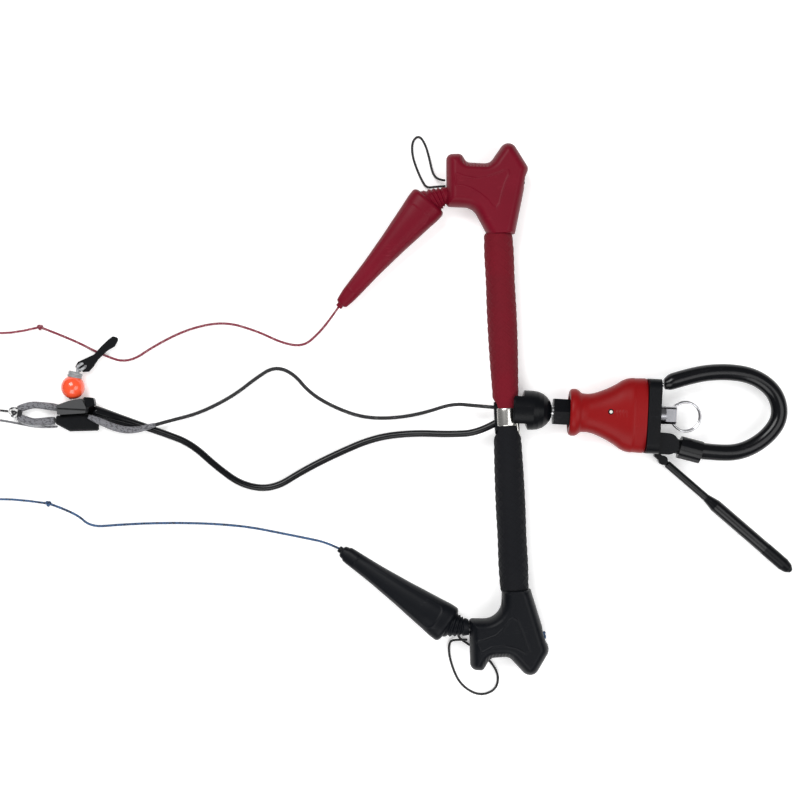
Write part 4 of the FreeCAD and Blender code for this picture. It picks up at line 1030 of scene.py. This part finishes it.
BLACK_CONTOUR = [
    (-0.0383, 0.2149), (-0.031, 0.2136), (-0.02, 0.21), (-0.0125, 0.2036), (-0.0068, 0.1967),
    (-0.0029, 0.1942), (0.0008, 0.197), (0.0044, 0.2071), (0.0083, 0.2199), (0.0103, 0.2263),
    (0.0066, 0.2277), (-0.0008, 0.2231), (-0.0133, 0.2198), (-0.0241, 0.2206), (-0.0343, 0.2256),
]


class KITEBAR_OT_bar_ends(bpy.types.Operator):
    """Makes the bar ends, with ribbed line seats, a raised contour and the leaders' knots; the red end's knot
    is black, a painted shade for its dark recess
    """

    bl_idname = "kitebar.bar_ends"
    bl_label = "Bar ends"

    def execute(self, context):
        sizes = context.scene.kite_bar_sizes
        for colour, side, outline, contour in (
            ("red", 1, RED_END, RED_CONTOUR), ("black", -1, BLACK_END, BLACK_CONTOUR),
        ):
            name = f"bar_end_shell_{colour}"
            mesh = self.skin(name, side, outline, contour, sizes)
            add_piece(name, "bar", mesh, f"{colour.title()} shell", (f"bar_end_{colour}",))
            turned = knot_rings(0.0031, 0.0013, around=12, steps=96)
            rings = from_bar(0.0254 + turned[..., 2], side * (0.214 + turned[..., 0]), turned[..., 1])
            # The red end's knot is black braid as painted shade, standing for the dark recess round the red
            # leader's knot; the black end's knot has the blue leader's own colour
            cord = {"red": "Black braid", "black": "Blue leader cord"}[colour]
            name = f"leader_stop_{colour}"
            add_piece(name, "bar", ring_mesh(name, rings, ends=False), cord, (f"leader_knot_{colour}",))
        return {"FINISHED"}

    def skin(self, name, side, outline, contour, sizes):
        """A soft plate. Top height = plate + a raised line along the contour - ribs
        sin^2(pi v / pitch) in the line seat; the wall towards the rider has a round dimple
        exp(-(distance / 4 mm)^2) for the leader's knot."""
        collar = (outline[0][1], 0.0012)
        v, u, height, d = plate_rings(outline, 0.015, 0.0092, rows=230, columns=170, end_edge=collar)
        rim = distance_to_outline(v, u, contour)
        line = sizes.contour_height * np.exp(-((rim / 0.0007) ** 2))
        seat = bump_between(v, -0.031, -0.006, 0.002) * bump_between(d, -0.01, 0.003, 0.0026)
        seat *= np.clip((u - 0.22) / 0.002, 0, 1)
        ribs = 0.0012 * np.sin(math.pi * v / sizes.rib_pitch) ** 2 * seat * np.clip(d / 0.001, 0, 1)
        shaped = height + np.minimum(line, height) - np.minimum(ribs, height)
        below = -(height - np.minimum(ribs, height))

        def to_frame(v, u, z):
            fall = np.exp(-((u - 0.214) ** 2 + z**2) / 0.0042**2)
            v = v - 0.007 * fall * np.clip((v - 0.016) / 0.008, 0, 1)
            return from_bar(v, side * u, z)

        return plate_mesh(name, v, u, shaped, below, to_frame)


class KITEBAR_OT_insert(bpy.types.Operator):
    """Makes the metal band at the middle of the bar, and the flared lip of its hole"""

    bl_idname = "kitebar.insert"
    bl_label = "Metal insert"

    def execute(self, context):
        bands = (("insert_band_top", 1, ("centre_insert",)), ("insert_band_bottom", -1, ()))
        for name, sign, replaced in bands:
            add_piece(name, "bar", self.arc(name, sign), "Brushed insert", replaced)
        add_piece("insert_lip", "bar", self.lip("insert_lip"), "Brushed insert")
        return {"FINISHED"}

    def arc(self, name, sign):
        """Rings along angle a round the bar from 35 to 145 degrees; each ring is a rectangle with
        round edges, |x|^6 + |y|^6 = 1, 16 mm along the bar and from 9.05 to 11.5 mm out."""
        a = sign * np.radians(np.linspace(34, 146, 90))
        b = whole_turn(48)
        u = -0.0074 + 0.0084 * powered(np.cos(b), 0.33)
        r = 0.01028 + 0.00122 * powered(np.sin(b), 0.33)
        rings = from_bar(r * np.cos(a)[:, None], np.repeat(u[None], len(a), axis=0), r * np.sin(a)[:, None])
        return ring_mesh(name, rings)

    def lip(self, name):
        """A bead round the hole on the rider's side: its middle line is an obround of half
        width 16 mm and half height 7.2 mm, laid on the bar's round, v = sqrt(11.6^2 - z^2)."""
        t = whole_turn(160)
        z = 0.0072 * np.sin(t)
        u = -0.008 + 0.0088 * np.tanh(4 * np.cos(t)) + 0.0072 * np.cos(t)
        path = from_bar(np.sqrt(0.0116**2 - z**2), u, z)
        path = np.vstack([path, path[:1]])
        ahead = np.gradient(np.vstack([path[-2:-1], path, path[1:2]]), axis=0)[1:-1]
        ahead /= np.linalg.norm(ahead, axis=1, keepdims=True)
        out = path - from_bar(0.0, np.append(u, u[0]), 0.0)
        out /= np.linalg.norm(out, axis=1, keepdims=True)
        side = np.cross(ahead, out)
        b = whole_turn(14)[None, :, None]
        rings = path[:, None] + 0.0011 * (np.cos(b) * out[:, None] + np.sin(b) * side[:, None])
        rings[-1] = rings[0]
        return ring_mesh(name, rings, ends=False)


# ---- floats -------------------------------------------------------------------------------


class KITEBAR_OT_floats(bpy.types.Operator):
    """Makes the foam floats of the leaders and the ribbed necks that they bend on"""

    bl_idname = "kitebar.floats"
    bl_label = "Floats"

    def execute(self, context):
        for colour, facts in FLOATS.items():
            shift = -facts["side"] * FLOAT_SHIFT
            mesh = self.skin(f"float_foam_{colour}", colour, facts["length"], shift)
            foam = add_piece(f"float_foam_{colour}", f"float_{colour}", mesh, f"{colour.title()} shell",
                             (f"float_{colour}",))
            a = from_bar(-0.0445, facts["side"] * ROOT[1], 0.0)
            b = from_bar(ROOT[0], facts["side"] * ROOT[1], 0.0)
            c = from_float(colour, 0.0135, shift * 0.6, 0.0)
            t = np.linspace(0, 1, 90)[:, None]
            path = (1 - t) ** 2 * a + 2 * t * (1 - t) * b + t**2 * c
            t = t[:, 0]
            radius = through([0, 0.2, 0.45, 0.75, 1], [0.0066, 0.0074, 0.0088, 0.0112, 0.0135], t)
            folds = 0.0013 * (0.5 - 0.5 * np.cos(2 * math.pi * np.clip((t - 0.24) / 0.62, 0, 1) * 4))
            radius = radius - folds
            mesh = ring_mesh(f"float_bellows_{colour}", sweep(path, radius * 1.12, radius * 0.95, around=48))
            neck = add_piece(f"float_bellows_{colour}", None, mesh, f"{colour.title()} shell",
                             (f"float_neck_{colour}",))
            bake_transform(neck)
        return {"FINISHED"}

    def skin(self, name, colour, long, shift, rows=240, around=120):
        """Ring i stands at one place along the float and is a superellipse |x/w|^n + |z/h|^n = 1
        of its own half sizes. A raised line follows a long panel with round ends on both faces,
        and the tip closes on a small collar."""
        along = np.concatenate([
            0.0088 + 0.007 * eased(31)[:-1], np.linspace(0.0158, long - 0.004, rows - 60),
            long - 0.004 + 0.0078 * eased(31)[1:],
        ])
        wide = through(
            [0.0088, 0.0092, 0.0105, 0.0125, 0.015, 0.03, 0.046, 0.062, 0.078,
             0.094, 0.11, 0.126, long - 0.004, long - 0.001, long, long + 0.0006, long + 0.0034, long + 0.0038],
            [0.0128, 0.0150, 0.0172, 0.0182, 0.0182, 0.0165, 0.0146, 0.0126, 0.011,
             0.0095, 0.0085, 0.0075, 0.0063, 0.0056, 0.0044, 0.0032, 0.0031, 0.0026], along)
        tall = through(
            [0.0088, 0.0092, 0.0105, 0.0125, 0.015, 0.03, 0.046, 0.062,
             0.094, long - 0.009, long - 0.001, long, long + 0.0006, long + 0.0038],
            [0.0094, 0.0110, 0.0130, 0.0140, 0.0142, 0.014, 0.0132, 0.0122,
             0.0096, 0.0068, 0.0054, 0.0044, 0.0032, 0.0026], along)
        angle = whole_turn(around)
        power = 2 / 2.5
        x = wide[:, None] * powered(np.cos(angle), power)
        z = tall[:, None] * powered(np.sin(angle), power)
        half = [(0.021, 0.0128, 0.006), (0.05, 0.0102, 0.004), (long - 0.016, 0.0044, 0.003)]
        panel = rounded([(x0, -y0, soft) for x0, y0, soft in half] + half[::-1], steps=8)
        station = np.repeat(along[:, None], around, axis=1)
        gap = distance_to_outline(station, x, panel)
        z = z + 0.00042 * np.exp(-((gap / 0.0008) ** 2)) * np.sign(z)
        return ring_mesh(name, from_float(colour, station, x + shift, z), along)


# ---- the release --------------------------------------------------------------------------


class KITEBAR_OT_release_handle(bpy.types.Operator):
    """Makes the quick release's handle: a hollow flared shell with arrow marks and a pin, set in a black disc
    that is painted shade for the dimple round the pin
    """

    bl_idname = "kitebar.release_handle"
    bl_label = "Release handle"

    def execute(self, context):
        name = "release_handle_shell"
        add_piece(name, "handle", self.skin(name), "Red release", ("qr_handle",))
        for name, finish, low, high, radius in (
            # The black disc under the pin's head is painted shade: it stands for the shadow in a dimple round
            # the pin, which is not modelled
            ("handle_pin_painted_shade", "Black plastic", 0.0155, 0.0184, 0.0027),
            ("handle_pin_head", "White pin", 0.0155, 0.0188, 0.0016),
        ):
            add_piece(name, "handle", self.disc(name, low, high, radius), finish)
        return {"FINISHED"}

    def skin(self, name, around=300):
        """Rings along X are superellipses of half width w and half height h, whose power goes
        from 2 at the flange to 2.6 at the mouth; they go out along the outside and come back
        along the inside. Four arrow marks x = tip + 0.8 |y - 1.5 mm| are raised on the face."""
        start = 0.0589
        out = np.concatenate([
            0.0018 * eased(9)[:-1], np.linspace(0.0018, 0.0705, 172), 0.0705 + 0.001 * eased(7)[1:],
        ])
        wide = through(
            [0, 0.0008, 0.0028, 0.005, 0.007, 0.0088, 0.0105, 0.0125, 0.0165,
             0.021, 0.031, 0.043, 0.049, 0.0545, 0.0588, 0.0605, 0.0695, 0.0715],
            [0.0198, 0.0212, 0.0221, 0.0222, 0.0217, 0.0206, 0.0191, 0.0183, 0.0181,
             0.0187, 0.0222, 0.0283, 0.0323, 0.0345, 0.0351, 0.0349, 0.0352, 0.0344], out)
        tall = through(
            [0, 0.0008, 0.0028, 0.005, 0.007, 0.0088, 0.0105, 0.0125, 0.0165,
             0.021, 0.031, 0.043, 0.053, 0.0588, 0.0605, 0.0715],
            [0.0174, 0.0184, 0.0191, 0.0192, 0.0188, 0.0181, 0.0173, 0.0168, 0.0166,
             0.0169, 0.0176, 0.0186, 0.0194, 0.0199, 0.0197, 0.0197], out)
        back = np.linspace(0.0715, 0, 40)
        bore = [0, 0.024, 0.046, 0.058, 0.0715]
        inner_wide = np.interp(back, bore, [0.0152, 0.0152, 0.0252, 0.0306, 0.0318])
        inner_tall = np.interp(back, bore, [0.0152, 0.0146, 0.0156, 0.0164, 0.0167])
        x = np.concatenate([out, back])
        angle = whole_turn(around)
        power = 2 / (2 + 0.7 * np.clip(x / 0.06, 0, 1))[:, None]
        y = np.concatenate([wide, inner_wide])[:, None] * powered(np.cos(angle), power)
        z = np.concatenate([tall, inner_tall])[:, None] * powered(np.sin(angle), power)
        station = np.repeat(x[:, None], around, axis=1)
        tip = 0.0422 + 0.0028 * np.arange(4)[:, None, None]
        off = np.abs(y - 0.0015)
        gap = np.abs(station - tip - 0.75 * off).min(axis=0)
        marks = np.exp(-((gap / 0.0005) ** 2)) * np.clip((0.0026 - off) / 0.0004, 0, 1)
        outer = (np.arange(len(x)) < len(out))[:, None] & (np.abs(z) > 0.009)
        z = z + 0.0006 * marks * outer * np.sign(z)
        rings = from_pivot(np.stack([start + station, y, AXIS + z], axis=-1))
        return ring_mesh(name, np.concatenate([rings, rings[:1]]), ends=False)

    def disc(self, name, low, high, radius):
        """A round head seen from above: rings of radius r (share) that close over a soft edge."""
        share = np.array([1, 1, 1, 0.97, 0.9, 0.7, 0.35, 0.02])
        up = np.array([0, 0.4, 0.8, 0.92, 0.985, 1, 0.99, 0.985])
        angle = whole_turn(40)
        x = 0.0964 + radius * share[:, None] * np.cos(angle)
        y = 0.0022 + radius * share[:, None] * np.sin(angle)
        z = np.repeat((AXIS + low + (high - low) * up)[:, None], 40, axis=1)
        return ring_mesh(name, from_pivot(np.stack([x, y, z], axis=-1)))


class KITEBAR_OT_chicken_loop(bpy.types.Operator):
    """Makes the loop's thick moulded tube, cut at a slant at its free end"""

    bl_idname = "kitebar.chicken_loop"
    bl_label = "Chicken loop"

    def execute(self, context):
        path = read_spline(from_pivot(LOOP_ROUTE), resolution=14)
        s = lengths_along(path)
        radius = np.full(len(path), 0.0077)
        radius = radius + 0.0004 * np.exp(-((s / 0.012) ** 2))
        radius = radius * (1 - 0.3 * np.clip((s - s[-1] + 0.008) / 0.008, 0, 1) ** 2)
        rings = sweep(path, radius, around=64)
        slant = np.clip((s - s[-1] + 0.014) / 0.014, 0, 1)[:, None]
        ahead = path[-1] - path[-2]
        ahead /= np.linalg.norm(ahead)
        side = np.cross(ahead, [0, 0, 1])
        offset = ((rings - path[:, None]) @ side) * 0.45
        rings = rings - (slant * (np.maximum(offset, 0) + 0.0008))[..., None] * ahead
        middle = rings[-1].mean(axis=0)
        caps = [middle + (rings[-1] - middle) * k + ahead * f for k, f in
                ((0.985, 0.0003), (0.95, 0.0006), (0.88, 0.0008), (0.5, 0.0008), (0.1, 0.0007))]
        rings = np.concatenate([rings, np.array(caps)])
        lengths = np.append(s, s[-1] + np.array([0.0003, 0.0006, 0.001, 0.004, 0.007]))
        add_piece("chicken_loop_tube", "loop", ring_mesh("chicken_loop_tube", rings, lengths),
                  "Loop rubber", ("chicken_loop",))
        return {"FINISHED"}


class KITEBAR_OT_leash_ring(bpy.types.Operator):
    """Makes the split ring of the leash: two turns of wire, the second a little to the side"""

    bl_idname = "kitebar.leash_ring"
    bl_label = "Leash ring"

    def execute(self, context):
        turn = np.linspace(0, 4 * math.pi, 220)
        second = 1 / (1 + np.exp(-(turn - 2 * math.pi) * 4))
        x = 0.1685 + 0.0136 * np.cos(turn + 2.2) + 0.0007 * second
        y = 0.0015 + 0.0136 * np.sin(turn + 2.2) - 0.0006 * second
        path = from_pivot(np.stack([x, y, AXIS - 0.00108 + 0.00216 * second], axis=-1))
        mesh = ring_mesh("leash_split_ring", sweep(path, 0.0011, around=18))
        add_piece("leash_split_ring", "leash_ring", mesh, "Chrome ring", ("leash_ring",))
        return {"FINISHED"}


# ---- the trim -----------------------------------------------------------------------------


def turned_mesh(name, centre, heading, along, radius, around=64):
    """A closed outline (along, radius) turned about a level axis that points heading degrees
    from +X and passes through centre."""
    angle = whole_turn(around)
    h = math.radians(heading)
    ahead, side = np.array([math.cos(h), math.sin(h), 0]), np.array([-math.sin(h), math.cos(h), 0])
    out = np.cos(angle)[:, None] * side + np.sin(angle)[:, None] * np.array([0, 0, 1.0])
    along, radius = np.append(along, along[0]), np.append(radius, radius[0])
    rings = np.array(centre) + along[:, None, None] * ahead + radius[:, None, None] * out[None]
    return ring_mesh(name, from_pivot(rings), ends=False)


class KITEBAR_OT_trim_pull(bpy.types.Operator):
    """Makes the glossy ball of the trim pull and the ribbed ferrule above it"""

    bl_idname = "kitebar.trim_pull"
    bl_label = "Trim pull"

    def execute(self, context):
        sweep_angle = np.linspace(0.2, math.pi - 0.2, 60)
        along = np.concatenate([-0.0112 * np.cos(sweep_angle), np.linspace(0.0104, -0.0104, 20)])
        radius = np.concatenate([0.0112 * np.sin(sweep_angle), np.full(20, 0.00165)])
        mesh = turned_mesh("trim_ball_skin", (-0.4093, 0.0006, 0.0113), 82, along, radius, around=96)
        add_piece("trim_ball_skin", "trim_pull", mesh, "Orange ball", ("trim_ball",))
        t = np.linspace(0, 1, 40)
        edge = np.sqrt(np.clip(1 - (2 * t - 1) ** 6, 0, 1))
        outer = 0.0050 + 0.0019 * edge - 0.0006 * np.exp(-(((t - 0.5) / 0.1) ** 2))
        along = np.concatenate([0.0062 * (t - 0.5), [0.0031, -0.0031]])
        radius = np.concatenate([outer, [0.0023, 0.0023]])
        mesh = turned_mesh("trim_ferrule_skin", (-0.408, 0.0120, 0.011), 76, along, radius)
        add_piece("trim_ferrule_skin", "trim_pull", mesh, "Ferrule grey", ("trim_ferrule",))
        return {"FINISHED"}


class KITEBAR_OT_trim_fabric(bpy.types.Operator):
    """Makes the fabric parts of the trim: the cleat's padded base, and the pull tab and strap"""

    bl_idname = "kitebar.trim_fabric"
    bl_label = "Trim fabric"

    def execute(self, context):
        pad = [(-0.4248, -0.027, 0.002), (-0.3956, -0.0236, 0.002), (-0.3842, -0.031, 0.0025),
               (-0.3834, -0.0394, 0.002), (-0.4106, -0.0414, 0.002), (-0.4244, -0.035, 0.0025)]
        floor = [(-0.4218, -0.0166, 0.002), (-0.3996, -0.01, 0.002), (-0.3885, -0.0174, 0.0025),
                 (-0.3885, -0.0245, 0.001), (-0.4225, -0.0285, 0.001)]
        tab = [(-0.4067, 0.0248, 0.0016), (-0.3987, 0.029, 0.0024), (-0.3918, 0.0326, 0.0032),
               (-0.3851, 0.0409, 0.004), (-0.3789, 0.0473, 0.0032), (-0.3748, 0.0508, 0.0024),
               (-0.3686, 0.0493, 0.0024), (-0.3724, 0.0411, 0.0032), (-0.3793, 0.0365, 0.0032),
               (-0.3873, 0.0281, 0.0032), (-0.3917, 0.0208, 0.0024), (-0.3957, 0.0159, 0.002),
               (-0.4013, 0.0152, 0.0016), (-0.4043, 0.0183, 0.001), (-0.4096, 0.0187, 0.0016)]
        for name, body, corners, height, middle, edge, seam, replaced in (
            ("cleat_pad", "bar", pad, 0.007, 0.0072, 0.0035, 0.0026, ("cleat_base",)),
            ("cleat_floor", "bar", floor, 0.0011, 0.0013, 0.001, 0.0016, ()),
            ("pull_tab_cloth", "trim_pull", tab, 0.0024, 0.0064, 0.0018, 0.0015, ("pull_tab",)),
        ):
            mesh = self.skin(name, corners, height, middle, edge, seam)
            add_piece(name, body, mesh, "Black webbing", replaced)
        return {"FINISHED"}

    def skin(self, name, corners, height, middle, edge, seam):
        """A soft plate with stitches: dents sin^2 along the line at a fixed distance from the
        outline, and a slight swell sin(x) sin(y) of the cloth."""
        x, y, rise, d = plate_rings(corners, height, edge, rows=110, columns=80)
        line = np.exp(-(((d - seam) / 0.0003) ** 2))
        stitch = line * (0.35 + 0.65 * np.sin((x + y) * math.pi / 0.0016) ** 2)
        swell = 0.05 * height * np.sin(x * 700) * np.sin(y * 520 + 1)
        flat = rise / height
        top = rise - 0.00035 * stitch * flat + swell * flat

        def to_frame(x, y, z):
            return from_pivot(np.stack([x, y, middle + z], axis=-1))

        return plate_mesh(name, x, y, top, -rise, to_frame)


# ---- carried-over parts, floor, light and camera ------------------------------------------


class KITEBAR_OT_finishes(bpy.types.Operator):
    """Makes the materials, and gives the carried-over parts theirs"""

    bl_idname = "kitebar.finishes"
    bl_label = "Materials"

    def execute(self, context):
        moulded_group()
        scuff_group()
        braid_group()
        webbing_group()
        make_finishes()
        for node, finish in CAD_FINISHES.items():
            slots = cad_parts[node].data.materials
            slots.clear()
            slots.append(bpy.data.materials[finish])
        return {"FINISHED"}


class KITEBAR_OT_studio(bpy.types.Operator):
    """Makes the floor, the soft lights and the camera"""

    bl_idname = "kitebar.studio"
    bl_label = "Studio"

    def execute(self, context):
        scene = context.scene
        camera = bpy.data.objects.new("Camera", bpy.data.cameras.new("Camera"))
        scene.collection.objects.link(camera)
        camera.location = (-0.0047, 0.0025, 1.62)
        camera.rotation_euler = (0, 0, math.radians(2.8))
        camera.data.sensor_width = 36.0
        camera.data.lens = 76.6
        camera.data.clip_start = 0.05
        scene.camera = camera
        edge = np.array([-1, 1]) * 3.0
        x, y = np.meshgrid(edge, edge)
        corners = np.stack([x, y, np.full_like(x, -0.0004)], axis=-1).reshape(-1, 3)
        mesh = bpy.data.meshes.new("Floor")
        mesh.from_pydata(corners, [], [(0, 1, 3, 2)])
        floor = bpy.data.objects.new("Floor", mesh)
        scene.collection.objects.link(floor)
        tree, shader = new_material("Pale floor", (0.93, 0.93, 0.93), 0.9)
        place = put(tree, "ShaderNodeTexCoord").outputs["Object"]
        grain = put(tree, "ShaderNodeTexNoise", {"Vector": place, "Scale": 3.0, "Detail": 2.0})
        blend_colours(tree, shader, grain.outputs["Fac"], (0.9, 0.9, 0.9), (0.95, 0.95, 0.95))
        shader.inputs["Emission Color"].default_value = (1.0, 1.0, 1.0, 1.0)
        shader.inputs["Emission Strength"].default_value = 0.3
        mesh.materials.append(bpy.data.materials["Pale floor"])
        world = bpy.data.worlds.new("Studio")
        world.use_nodes = True
        world.node_tree.nodes["Background"].inputs["Color"].default_value = (1.0, 1.0, 1.0, 1.0)
        world.node_tree.nodes["Background"].inputs["Strength"].default_value = 0.22
        scene.world = world
        scene.view_settings.view_transform = "Standard"
        for name, where, size, power in (
            ("Key light", (-0.7, 0.9, 1.7), 1.0, 28.0),
            ("Fill light", (1.1, -0.3, 1.6), 1.4, 18.0),
            ("Back light", (-0.2, -1.3, 1.3), 1.2, 16.0),
        ):
            light = bpy.data.lights.new(name, "AREA")
            light.size = size
            light.energy = power
            lamp = bpy.data.objects.new(name, light)
            scene.collection.objects.link(lamp)
            lamp.location = where
            x, y, z = where
            lamp.rotation_euler = (math.atan2(math.hypot(x, y), z), 0, math.atan2(x, -y))
        return {"FINISHED"}


class KITEBAR_PT_sidebar(bpy.types.Panel):
    """Lists the steps that build the bar, with its sizes and colours"""

    bl_idname = "KITEBAR_PT_sidebar"
    bl_label = "Kite control bar"
    bl_space_type = "VIEW_3D"
    bl_region_type = "UI"
    bl_category = "Kite bar"

    def draw(self, context):
        for group in (context.scene.kite_bar_sizes, context.scene.kite_bar_colours):
            column = self.layout.column(align=True)
            for word in group.bl_rna.properties.keys():
                if word not in {"rna_type", "name"}:
                    column.prop(group, word)
        for step in STEPS:
            self.layout.operator(step.bl_idname)


STEPS = [
    KITEBAR_OT_studio, KITEBAR_OT_finishes, KITEBAR_OT_flying_lines, KITEBAR_OT_leaders,
    KITEBAR_OT_centre_lines, KITEBAR_OT_bungees, KITEBAR_OT_trim_lines, KITEBAR_OT_grips,
    KITEBAR_OT_bar_ends, KITEBAR_OT_insert, KITEBAR_OT_floats, KITEBAR_OT_release_handle,
    KITEBAR_OT_chicken_loop, KITEBAR_OT_leash_ring, KITEBAR_OT_trim_pull, KITEBAR_OT_trim_fabric,
]
CLASSES = [KiteBarSizes, KiteBarColours, *STEPS, KITEBAR_PT_sidebar]


def register():
    for cls in CLASSES:
        bpy.utils.register_class(cls)
    bpy.types.Scene.kite_bar_sizes = PointerProperty(type=KiteBarSizes)
    bpy.types.Scene.kite_bar_colours = PointerProperty(type=KiteBarColours)


def unregister():
    del bpy.types.Scene.kite_bar_colours
    del bpy.types.Scene.kite_bar_sizes
    for cls in reversed(CLASSES):
        bpy.utils.unregister_class(cls)


def main():
    register()
    for step in STEPS:
        group, word = step.bl_idname.split(".")
        getattr(getattr(bpy.ops, group), word)()


if __name__ == "__main__":
    main()
